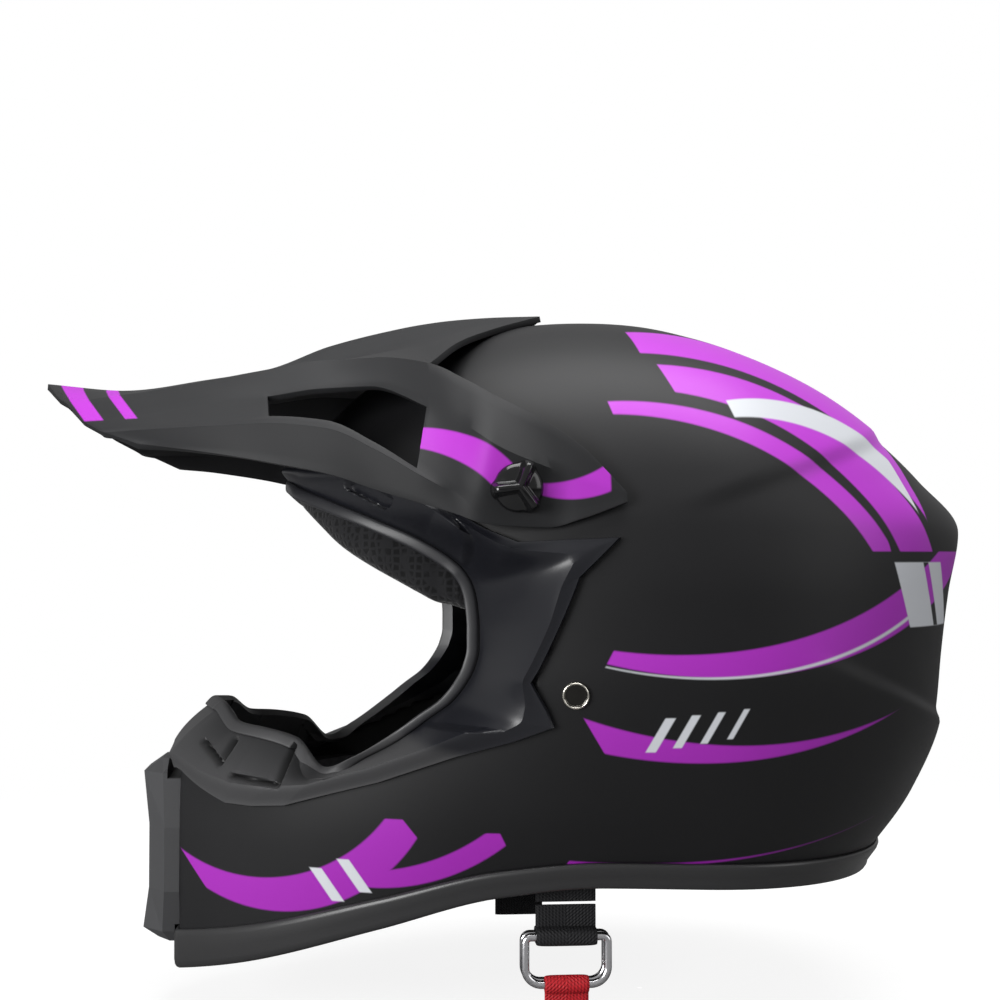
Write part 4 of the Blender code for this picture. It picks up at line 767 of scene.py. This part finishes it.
def brow_pad():
    """Oval section carried along a line inside the lip, whose height follows the pad's hang below the lip."""
    reach = np.linspace(-BROW_REACH, BROW_REACH, 260)
    station = np.abs(reach)
    knots = np.arange(len(BROW_HANG))
    lip = carried(TRIM_LIP, station)
    hang = smooth_through(knots, BROW_HANG, station)
    lip[:, 1] *= np.sign(reach)
    outward = unit((lip - np.array((40.0, 0.0, 0.0))) * np.array((1.0, 1.0, 0.0)))
    middle = lip - outward * BROW_INSET + np.array((0.0, 0.0, 1.0)) * (BROW_LAP - hang / 2)[:, None]
    turn = full_turn(28)[:, None]
    size = np.sqrt(np.maximum(1 - (station / BROW_REACH) ** 8, 0))[:, None, None]
    quilt = 1 + BROW_QUILT * np.cos(reach * 2 * math.pi)[:, None, None]
    up = np.array((0.0, 0.0, 1.0)) * np.sin(turn)
    points = middle[:, None] + size * (outward[:, None] * np.cos(turn) * BROW_HALF_THICK * quilt
                                       + up * (BROW_ROUND + hang / 2)[:, None, None])
    return grid_piece("brow_pad", points * 0.001, wrap_columns=True)


brow = brow_pad()
fabric.dress(brow)
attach(brow, "helmet")
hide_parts("comfort_liner")

# Lower edge trim: an extruded channel of black rubber with a rounded outer bead. It is pushed over the
# shell's lower edge and glued, and it covers the cut wall all the way round.
CHANNEL_LAP = 0.26
CHANNEL_INNER, CHANNEL_LEG = SHELL_WALL + 0.6, 1.8
CHANNEL_BEAD = ((0.0, 0.1), (0.0, 1.0), (0.02, 1.7), (0.06, 2.1), (0.16, 2.1), (0.26, 2.1))
CHANNEL_FOOT = ((-1.9, 1.4), (-1.2, 2.6), (0.0, 3.3), (CHANNEL_INNER, 3.4), (CHANNEL_INNER + 1.3, 2.2),
                (CHANNEL_INNER + CHANNEL_LEG, 0.0))


def channel_section(turn):
    """U section carried round the lower edge: rounded bead outside and below, leg inside."""
    high = LAST_LEVEL - CHANNEL_LAP
    down = np.array((0.0, 0.0, -1.0))
    last = np.full(turn.shape, float(LAST_LEVEL))
    out = [shell_point(np.full(turn.shape, high + rise), turn, -bead) for rise, bead in CHANNEL_BEAD]
    low = [shell_point(last, turn, depth) + down * drop for depth, drop in CHANNEL_FOOT]
    leg = [shell_point(np.full(turn.shape, high), turn, depth)
           for depth in (CHANNEL_INNER + CHANNEL_LEG, CHANNEL_INNER)]
    close = [shell_point(last, turn, depth) + down * 0.3 for depth in (CHANNEL_INNER, -0.1)]
    return np.stack(out + low + leg + close)


edge = grid_piece("edge_channel", channel_section(full_turn(SKIN_COLUMNS)) * 0.001,
                  wrap_rows=True, wrap_columns=True)
edge_rubber = Finish("edge_rubber", Base_Color=(0.027, 0.027, 0.028, 1.0))
edge_rubber.set("Roughness", 0.30 + edge_rubber.noise(40.0) * 0.08)
edge_rubber.bump(edge_rubber.noise(1500.0, 2.0), 0.00004, 0.4)
edge_rubber.dress(edge)
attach(edge, "helmet")
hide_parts("bottom_edge_trim")

# Mouth vent: a moulded frame of dark grey plastic, clipped on the chin bar's flat front, with a
# perforated plate behind it. Both are CAD solids with their own finishes; the frame's edges are rounded.


def soften(piece, width, segments=2):
    """Round a hard moulding's edges."""
    bevel = piece.modifiers.new("edges", "BEVEL")
    bevel.width = width
    bevel.segments = segments
    bevel.limit_method = "ANGLE"
    bevel.angle_limit = math.radians(28)


vent = Finish("vent_grey", Roughness=0.55, Specular_IOR_Level=0.4)
vent.set("Base Color", vent.mix(vent.noise(30.0), (0.050, 0.0505, 0.053, 1.0), (0.062, 0.0625, 0.066, 1.0)))
vent.bump(vent.noise(1800.0, 2.0), 0.00005, 0.5)
vent.dress(nodes["chin_vent_frame"])
soften(nodes["chin_vent_frame"], 0.0009)
plate = Finish("vent_plate", Base_Color=(0.010, 0.010, 0.011, 1.0))
plate.set("Roughness", 0.30 + plate.noise(90.0) * 0.1)
plate.dress(nodes["chin_vent_mesh"])

# Peak: one injection-moulded sheet of matte charcoal plastic. A tongue runs back over the crown and two arms
# end in flat ears that are clamped by the finger screws; a vent is open on each side.
PEAK_RIDGE = ((243.5, 0, 88.5), (212, 0, 86), (180, 0, 89.5), (154, 0, 94), (129, 0, 104.5), (108, 0, 110.5),
              (93, 0, 113.4), (79, 0, 115.4), (62, 0, 116.4), (44.5, 0, 116.7))
PEAK_TONGUE = ((239, 11, 84), (208, 17, 84.5), (179, 20, 88.5), (153.5, 21, 93), (129, 21, 102.5),
               (107, 21, 108.5), (92, 21, 111.7), (79, 21, 113.6), (62, 21, 115), (44.5, 21, 115.7))
PEAK_VALLEY = ((236, 18, 81), (206, 29, 82.5), (178, 34, 86), (154, 36, 89.5), (130, 36, 94), (109, 40, 98),
               (93, 44, 101.5), (80, 40, 106), (63, 30, 111.8), (44.5, 24, 115.2))
PEAK_HEM = ((80, 66, 99), (63, 42, 108), (44.5, 26, 115))
PEAK_FOLD = ((232, 25, 78.5), (203, 38, 81.5), (177, 49, 85), (154.5, 57, 88.5), (131, 63, 92), (111, 75, 92),
             (91.5, 88, 88.5), (80, 95.5, 82.5), (68, -14.2, 75), (53, -7.2, 66.5), (39.5, -1.7, 56.5),
             (25, 2.8, 41))
PEAK_VENT_TOP = ((223.5, 41, 70.5), (195.5, 57, 72.5), (171, 66, 76), (151, 71, 77.5), (132, 76, 80),
                 (113, 82, 80.5), (93, 95, 72), (82, 106, 66), (70, 0, 57), (50, 0, 48.5), (40, 1.2, 45),
                 (24.5, 3, 40))
PEAK_BAND = ((214.5, 55, 65.5), (190.5, 72, 66.5), (167, 84, 67.5), (149.5, 91.5, 68.5), (129, 100, 66.5),
             (112, 106, 58.5), (97, 111, 49), (84, 115.5, 41), (74, 0, 34.5), (52, 0, 33.5), (40, 1.6, 35.2),
             (24.5, 3.2, 38.5))
PEAK_EDGE = ((198, 74, 59.5), (180.5, 83, 57), (162, 91, 54), (146.5, 98, 51), (127.5, 104, 47),
             (110, 108, 41), (97, 112, 37), (84, 116, 33), (73.5, 0, 29.5), (52, 0, 28.2), (40, 2, 31.2),
             (24.5, 3.4, 37))
PEAK_SPLIT = 6
PEAK_EARS = 8
PEAK_STEPS = 10
PEAK_WALL = 0.0024
VENT_FROM, VENT_TO = 3, 6


def peak_line(line, ears=False):
    """A listed line of the peak, carried smoothly through its stations; on the ears Y counts from the
    pivot's face."""
    line = np.array(line, float)
    if ears:
        line[PEAK_EARS:, 1] += ear_y
    fine = np.linspace(0, len(line) - 1, (len(line) - 1) * PEAK_STEPS + 1)
    return carried(line, fine)


def spread(lines, counts):
    """Points between neighbouring lines, each gap split into a count of equal parts."""
    parts = [low + (high - low) * np.linspace(0, 1, count, endpoint=False)[:, None, None]
             for low, high, count in zip(lines[:-1], lines[1:], counts)]
    return np.concatenate(parts + [lines[-1][None]]).transpose(1, 0, 2)


fold = peak_line(PEAK_FOLD, True)
vent_top, band, rim_edge = (peak_line(line, True) for line in (PEAK_VENT_TOP, PEAK_BAND, PEAK_EDGE))
split_row = PEAK_SPLIT * PEAK_STEPS
hem = np.vstack((fold[:split_row], peak_line((PEAK_FOLD[PEAK_SPLIT], *PEAK_HEM))))
proud = 1.8 * (1 - ease(np.arange(len(band)) / PEAK_STEPS - PEAK_SPLIT))
ledge = band + np.array((0.0, 1.0, 0.0)) * proud[:, None] + (rim_edge - band) * 0.16
top_sheet = spread([peak_line(PEAK_RIDGE), peak_line(PEAK_TONGUE), peak_line(PEAK_VALLEY), hem], (4, 5, 5))
side_sheet = spread([fold, vent_top, band, ledge, rim_edge], (4, 8, 2, 4))
cell = np.ones((len(side_sheet) - 1, side_sheet.shape[1] - 1), bool)
cell[VENT_FROM * PEAK_STEPS:VENT_TO * PEAK_STEPS, 4:12] = False
shape = bmesh.new()
for side in (1, -1):
    for sheet, keep in ((top_sheet, None), (side_sheet, cell)):
        part = grid_piece("peak_part", sheet * np.array((1.0, side, 1.0)) * 0.001, keep=keep)
        shape.from_mesh(part.data)
        bpy.data.objects.remove(part)
peak_mesh = bpy.data.meshes.new("peak_sheet")
shape.to_mesh(peak_mesh)
shape.free()
weld(peak_mesh)
peak_normals = np.empty(len(peak_mesh.polygons) * 3)
peak_mesh.polygons.foreach_get("normal", peak_normals)
if peak_normals[2::3].mean() < 0:
    peak_mesh.flip_normals()
peak_mesh.shade_smooth()
peak_mesh.set_sharp_from_angle(angle=math.radians(24))
peak = bpy.data.objects.new("peak_sheet", peak_mesh)
scene.collection.objects.link(peak)
wall = peak.modifiers.new("wall", "SOLIDIFY")
wall.thickness = PEAK_WALL
wall.offset = -1.0
soften(peak, 0.0006)

plastic = Finish("peak_charcoal", Specular_IOR_Level=0.26)
kx, _, kz = plastic.axes()
ear = crescent(kx, kz, (44, 74), 36, (53, 82), 38.5) * kx.rise(29.5, 30.5)
ear_two = crescent(kx, kz, (96, 20), 44, (104, 12), 45) * bar(kx, kz, 30, 0.3, 66, 38, 70)
tip = bar(kx, kz, 214, 0.9, 8, 70, 90).most(bar(kx, kz, 200, 0.9, 5, 70, 90))
ink = ear.most(ear_two).most(tip)
grain = plastic.noise(26.0)
charcoal = plastic.mix(grain, (0.0115, 0.0118, 0.0130, 1.0), (0.0155, 0.0158, 0.0172, 1.0))
plastic.set("Base Color", plastic.mix(ink, charcoal, (0.42, 0.032, 0.52, 1.0)))
plastic.set("Roughness", 0.52 + grain * 0.06)
plastic.bump(plastic.noise(2400.0, 2.0), 0.00003, 0.5)
plastic.dress(peak)
underside = Finish("peak_underside", Roughness=0.6, Specular_IOR_Level=0.25)
underside.set("Base Color", underside.mix(underside.noise(26.0), (0.012, 0.012, 0.013, 1.0),
                                          (0.016, 0.016, 0.0175, 1.0)))
peak.data.materials.append(underside.material)
wall.material_offset = 1
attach(peak, "peak")
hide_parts("peak")

# Finger screws: gloss black mouldings with three fins over a threaded stud. Each clamps an ear of the peak
# and a rubber washer to the shell and turns in a steel insert.
KNOB_RIM, KNOB_FIN_REACH = 8.7, 1.2
KNOB_DISC, KNOB_FIN = 4.2, 8.1
KNOB_FIN_HALF = 1.9
KNOB_TURNS = (7.0, 127.0, 247.0)
KNOB_GAP = 0.3


def finger_knob(name, centre, side):
    """Knob as a height over the polar plane: three fins at even turns rise from a hollowed disc, and the
    height falls to nothing at a rim that is drawn in between the fins; the flat back closes it."""
    share = np.linspace(0, 1, 48)[:, None]
    turn = full_turn(216)[None, :]
    fins = np.radians(np.array(KNOB_TURNS))[:, None, None]
    swing = np.cos(turn - fins)
    rim = KNOB_RIM + KNOB_FIN_REACH * np.exp(-((1 - swing.max(axis=0)) / 0.06) ** 2)
    aside = np.where(swing > 0, np.abs(np.sin(turn - fins)), 1.0) * share * 9.5
    fin = np.exp(-(aside.min(axis=0) / KNOB_FIN_HALF) ** 4)
    height = (KNOB_DISC - 2.4 * share ** 2) * (1 - fin) + (KNOB_FIN - 1.3 * share ** 2) * fin
    height = height * (1 - share ** 14) ** 0.5
    radius = share * rim
    points = np.stack((radius * np.cos(turn), height, radius * np.sin(turn)), axis=-1)
    points = np.concatenate((points, np.zeros((1, *points.shape[1:]))))
    points = np.asarray(centre) + points * np.array((1.0, side, -side))
    return grid_piece(name, points * 0.001, wrap_columns=True)


gloss = Finish("gloss_black", Base_Color=(0.006, 0.006, 0.0065, 1.0))
gloss.set("Roughness", 0.10 + gloss.noise(160.0) * 0.06)
washer = Finish("washer_rubber", Base_Color=(0.012, 0.012, 0.013, 1.0))
washer.set("Roughness", 0.5 + washer.noise(300.0) * 0.1)
steel = Finish("bright_steel", Base_Color=(0.72, 0.72, 0.74, 1.0), Metallic=1.0)
steel.set("Roughness", 0.16 + steel.noise(500.0) * 0.10)
for label, side in (("left", 1), ("right", -1)):
    knob = finger_knob("finger_knob_" + label, (pivot[0], side * (ear_y + KNOB_GAP), pivot[2]), side)
    gloss.dress(knob)
    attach(knob, "peak_screw_" + label)
    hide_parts("peak_screw_" + label)
    washer.dress(nodes["peak_washer_" + label])
    steel.dress(nodes["peak_insert_" + label], nodes["strap_anchor_" + label])

# Strap rivets: plated steel with a rolled bright rim round a recessed dark middle. Each is set through
# the shell and the steel plate behind it, and holds one half of the chin strap.
RIVET_X, RIVET_Z = 42.0, -30.0
rivet_turn = angle_at(RIVET_X, RIVET_Z)
rivet_level = level_at(rivet_turn, RIVET_Z)
rivet_at = shell_base(rivet_level, rivet_turn)
rivet_out = shell_normal(rivet_level, rivet_turn)
bead = np.linspace(0, math.pi, 14)
rivet_profile = np.vstack((((0.0, 0.55), (2.6, 0.45), (3.7, 0.3)),
                           np.stack((4.35 - 0.55 * np.cos(bead), 0.35 + 1.1 * np.sin(bead)), axis=1),
                           ((4.9, 0.3), (2.5, 0.3), (2.5, -6.8), (3.7, -6.8), (3.7, -7.7), (0.0, -7.7))))
plated = Finish("plated_rivet", Metallic=1.0)
rx, _, rz = plated.axes()
core = ((rx - RIVET_X) ** 2.0 + (rz - RIVET_Z) ** 2.0) ** 0.5
plated.set("Base Color", plated.mix(core.rise(3.6, 4.0), (0.05, 0.048, 0.045, 1.0), (0.74, 0.71, 0.64, 1.0)))
plated.set("Roughness", 0.14 + plated.noise(600.0) * 0.08)
for label, side in (("left", 1), ("right", -1)):
    flip = np.array((1.0, side, 1.0))
    rivet = turned("rivet_" + label, rivet_profile, rivet_at * flip, rivet_out * flip)
    plated.dress(rivet)
    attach(rivet, "helmet")
    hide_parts("strap_rivet_" + label)

# Chin strap: flat woven black webbing, 22 mm wide, riveted inside each side. The left half carries two steel
# rings in a sewn loop with a red pull tab; the right half ends in a folded hem.


def run_along(path):
    """Distance from a path's start to each of its points."""
    return np.concatenate(((0.0,), np.cumsum(np.linalg.norm(np.diff(path, axis=0), axis=1))))


def ribbon(name, path, across, width, thick):
    """Flat woven strip: a rounded flat section carried along a path, closed at both ends; it keeps the place
    across and along the weave as an attribute."""
    path = np.asarray(path, float)
    across = np.asarray(across, float)
    normal = np.cross(unit(np.gradient(path, axis=0)), across)
    turn = full_turn(40)
    side = signed_power(np.cos(turn), 0.4) * width / 2
    rise = signed_power(np.sin(turn), 0.6) * thick / 2
    points = path[:, None] + across * side[:, None] + normal[:, None] * rise[:, None]
    ends = np.broadcast_to(path[[0, -1], None], (2, *points.shape[1:]))
    points = np.concatenate((ends[:1], points, ends[1:]))
    run = run_along(path)
    run = np.concatenate((run[:1], run, run[-1:]))
    piece = grid_piece(name, points * 0.001, wrap_columns=True, merge=False)
    layer = piece.data.attributes.new("weave", "FLOAT_VECTOR", "POINT")
    grid = np.stack(np.broadcast_arrays(side[None, :], run[:, None], 0.0), axis=-1)
    layer.data.foreach_set("vector", grid.astype(np.float32).ravel())
    weld(piece.data)
    return piece


def resample(points, step=0.8):
    """Points at even steps along a polyline."""
    points = np.asarray(points, float)
    run = run_along(points)
    even = np.linspace(0, run[-1], max(4, int(run[-1] / step)))
    return np.stack([np.interp(even, run, points[:, k]) for k in range(3)], axis=1)


def woven(name, dark, light, roughness):
    """Webbing finish: a herringbone of short ribs across and along the strip."""
    cloth = Finish(name, Roughness=roughness, Specular_IOR_Level=0.3)
    place = cloth.node("ShaderNodeAttribute", {"attribute_name": "weave"}, None, "Vector")
    across = cloth.node("ShaderNodeSeparateXYZ", None, {0: place}, 0)
    along = cloth.node("ShaderNodeSeparateXYZ", None, {0: place}, 1)
    ribs = ((along + abs(across) * 0.8) * 5.2).sine() * 0.5 + (across * 5.2).sine() * 0.35
    cloth.set("Base Color", cloth.mix(ribs.rise(-0.8, 0.8), dark, light))
    cloth.bump(ribs, 0.00025, 0.8)
    return cloth


webbing = woven("webbing_black", (0.006, 0.006, 0.007, 1.0), (0.020, 0.020, 0.022, 1.0), 0.72)
tab_red = woven("tab_red", (0.36, 0.008, 0.014, 1.0), (0.62, 0.02, 0.03, 1.0), 0.6)
STRAP_X, HINGE_Z, EDGE_Z = 42.0, -108.0, -98.5
STRAP_TOP, STRAP_LEAVES = -36.0, -89.5
WEBBING_WIDTH, WEBBING_THICK, LOOP_THICK = 22.0, 1.8, 1.5
WEBBING_DEPTH, EDGE_DEPTH = 8.4, 9.1
TAIL_LENGTH, HEM_FROM, HEM_TO, HEM_THICK = 40.0, 28.0, 39.9, 3.6
LOOP_HALF_WIDTH, LOOP_HALF_HEIGHT = 5.2, 2.6
RING_DROP, RING_OFFSET, RING_WIRE = 11.0, 2.7, 1.5
RING_HALF, RING_BEND, RING_ROUND = 15.0, 2.0, 6.0
TAB_WIDTH, TAB_DROP, TAB_EYE = 16.0, 17.0, 2.6
ACROSS = np.array((1.0, 0.0, 0.0))
strap_turn = angle_at(STRAP_X + WEBBING_WIDTH / 2, EDGE_Z)
strap_level = level_at(strap_turn, EDGE_Z)
strap_y = float((shell_base(strap_level, strap_turn) - shell_normal(strap_level, strap_turn) * EDGE_DEPTH)[1])
webbing_heights = np.linspace(STRAP_TOP, STRAP_LEAVES, 12)
webbing_turn = angle_at(np.full(12, STRAP_X), webbing_heights)
webbing_level = level_at(webbing_turn, webbing_heights)
inside = (shell_base(webbing_level, webbing_turn)
          - shell_normal(webbing_level, webbing_turn) * WEBBING_DEPTH)
inside[:, 0] = STRAP_X
for label, side in (("left", 1), ("right", -1)):
    flip = np.array((1.0, side, 1.0))
    line = np.vstack((inside, (STRAP_X, strap_y, EDGE_Z), (STRAP_X, strap_y, HINGE_Z + 1.2)))
    upper = ribbon(f"webbing_{label}_upper", resample(line) * flip, ACROSS, WEBBING_WIDTH, WEBBING_THICK)
    webbing.dress(upper)
    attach(upper, "helmet")
    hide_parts(f"strap_{label}_upper")

loop_turn = np.linspace(math.pi / 2, -math.pi * 3 / 2, 60)
loop_out = np.stack((signed_power(np.cos(loop_turn), 0.45) * LOOP_HALF_WIDTH,
                     signed_power(np.sin(loop_turn), 0.7) * LOOP_HALF_HEIGHT), axis=1)
ring_z = HINGE_Z - RING_DROP
loop_line = np.column_stack((np.full(60, STRAP_X), strap_y + loop_out[:, 0], ring_z + loop_out[:, 1]))
lower_line = np.vstack(((STRAP_X, strap_y, HINGE_Z), (STRAP_X, strap_y, ring_z + 4.2), loop_line))
lower = ribbon("webbing_left_lower", resample(lower_line, 0.5), ACROSS, WEBBING_WIDTH, LOOP_THICK)
tail_line = ((STRAP_X, -strap_y, HINGE_Z), (STRAP_X, -strap_y, HINGE_Z - TAIL_LENGTH))
tail = ribbon("webbing_right_lower", resample(tail_line), ACROSS, WEBBING_WIDTH, WEBBING_THICK)
hem_line = ((STRAP_X, -strap_y, HINGE_Z - HEM_FROM), (STRAP_X, -strap_y, HINGE_Z - HEM_TO))
tail_hem = ribbon("webbing_hem", resample(hem_line), ACROSS, WEBBING_WIDTH, HEM_THICK)
for piece, body, node in ((lower, "strap_left", "strap_left_lower"),
                          (tail, "strap_right", "strap_right_lower"),
                          (tail_hem, "strap_right", "strap_right_lower")):
    webbing.dress(piece)
    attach(piece, body)
    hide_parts(node)


def bent_wire(name, path, radius):
    """Round wire: a circle carried along a closed path that lies in one plane across Y."""
    ahead = unit(np.roll(path, -1, axis=0) - np.roll(path, 1, axis=0))
    level_way = np.array((0.0, 1.0, 0.0))
    out = np.cross(ahead, level_way)
    turn = full_turn(20)[:, None]
    points = path[:, None] + radius * (np.cos(turn) * level_way + np.sin(turn) * out[:, None])
    return grid_piece(name, points * 0.001, wrap_rows=True, wrap_columns=True)


corner = np.radians(np.linspace(0, 90, 12))
small = np.radians(np.linspace(90, 0, 6))
ring_side = np.vstack((
    np.column_stack((RING_HALF + RING_BEND * (np.cos(small) - 1), RING_BEND * (np.sin(small) - 1))),
    np.column_stack((RING_HALF + RING_ROUND * (np.cos(corner) - 1),
                     RING_ROUND * (1 - np.sin(corner)) - TAB_DROP))))
ring_flat = np.vstack((ring_side, (ring_side * (-1, 1))[::-1]))
ring_outline = np.column_stack((ring_flat[:, 0], np.zeros(len(ring_flat)), ring_flat[:, 1]))
for label, side in (("outer", 1), ("inner", -1)):
    bar_place = np.array((STRAP_X, strap_y + side * RING_OFFSET, ring_z))
    ring = bent_wire("ring_" + label, bar_place + ring_outline, RING_WIRE)
    steel.dress(ring)
    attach(ring, "ring_" + label)
    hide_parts("d_ring_" + label)

eye_turn = np.linspace(-math.pi / 2, math.pi * 3 / 2, 40)
tab_y, tab_z = strap_y + RING_OFFSET, ring_z - TAB_DROP
tab_line = np.vstack(((STRAP_X, tab_y, tab_z - 23.3), (STRAP_X, tab_y, tab_z - 4.5)))
eye_line = np.column_stack((np.full(40, STRAP_X), tab_y + TAB_EYE * np.cos(eye_turn),
                            tab_z + TAB_EYE * np.sin(eye_turn)))
tab = ribbon("pull_ribbon", resample(np.vstack((tab_line, eye_line)), 0.5), ACROSS, TAB_WIDTH, LOOP_THICK)
tab_red.dress(tab)
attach(tab, "ring_outer")
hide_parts("pull_tab")
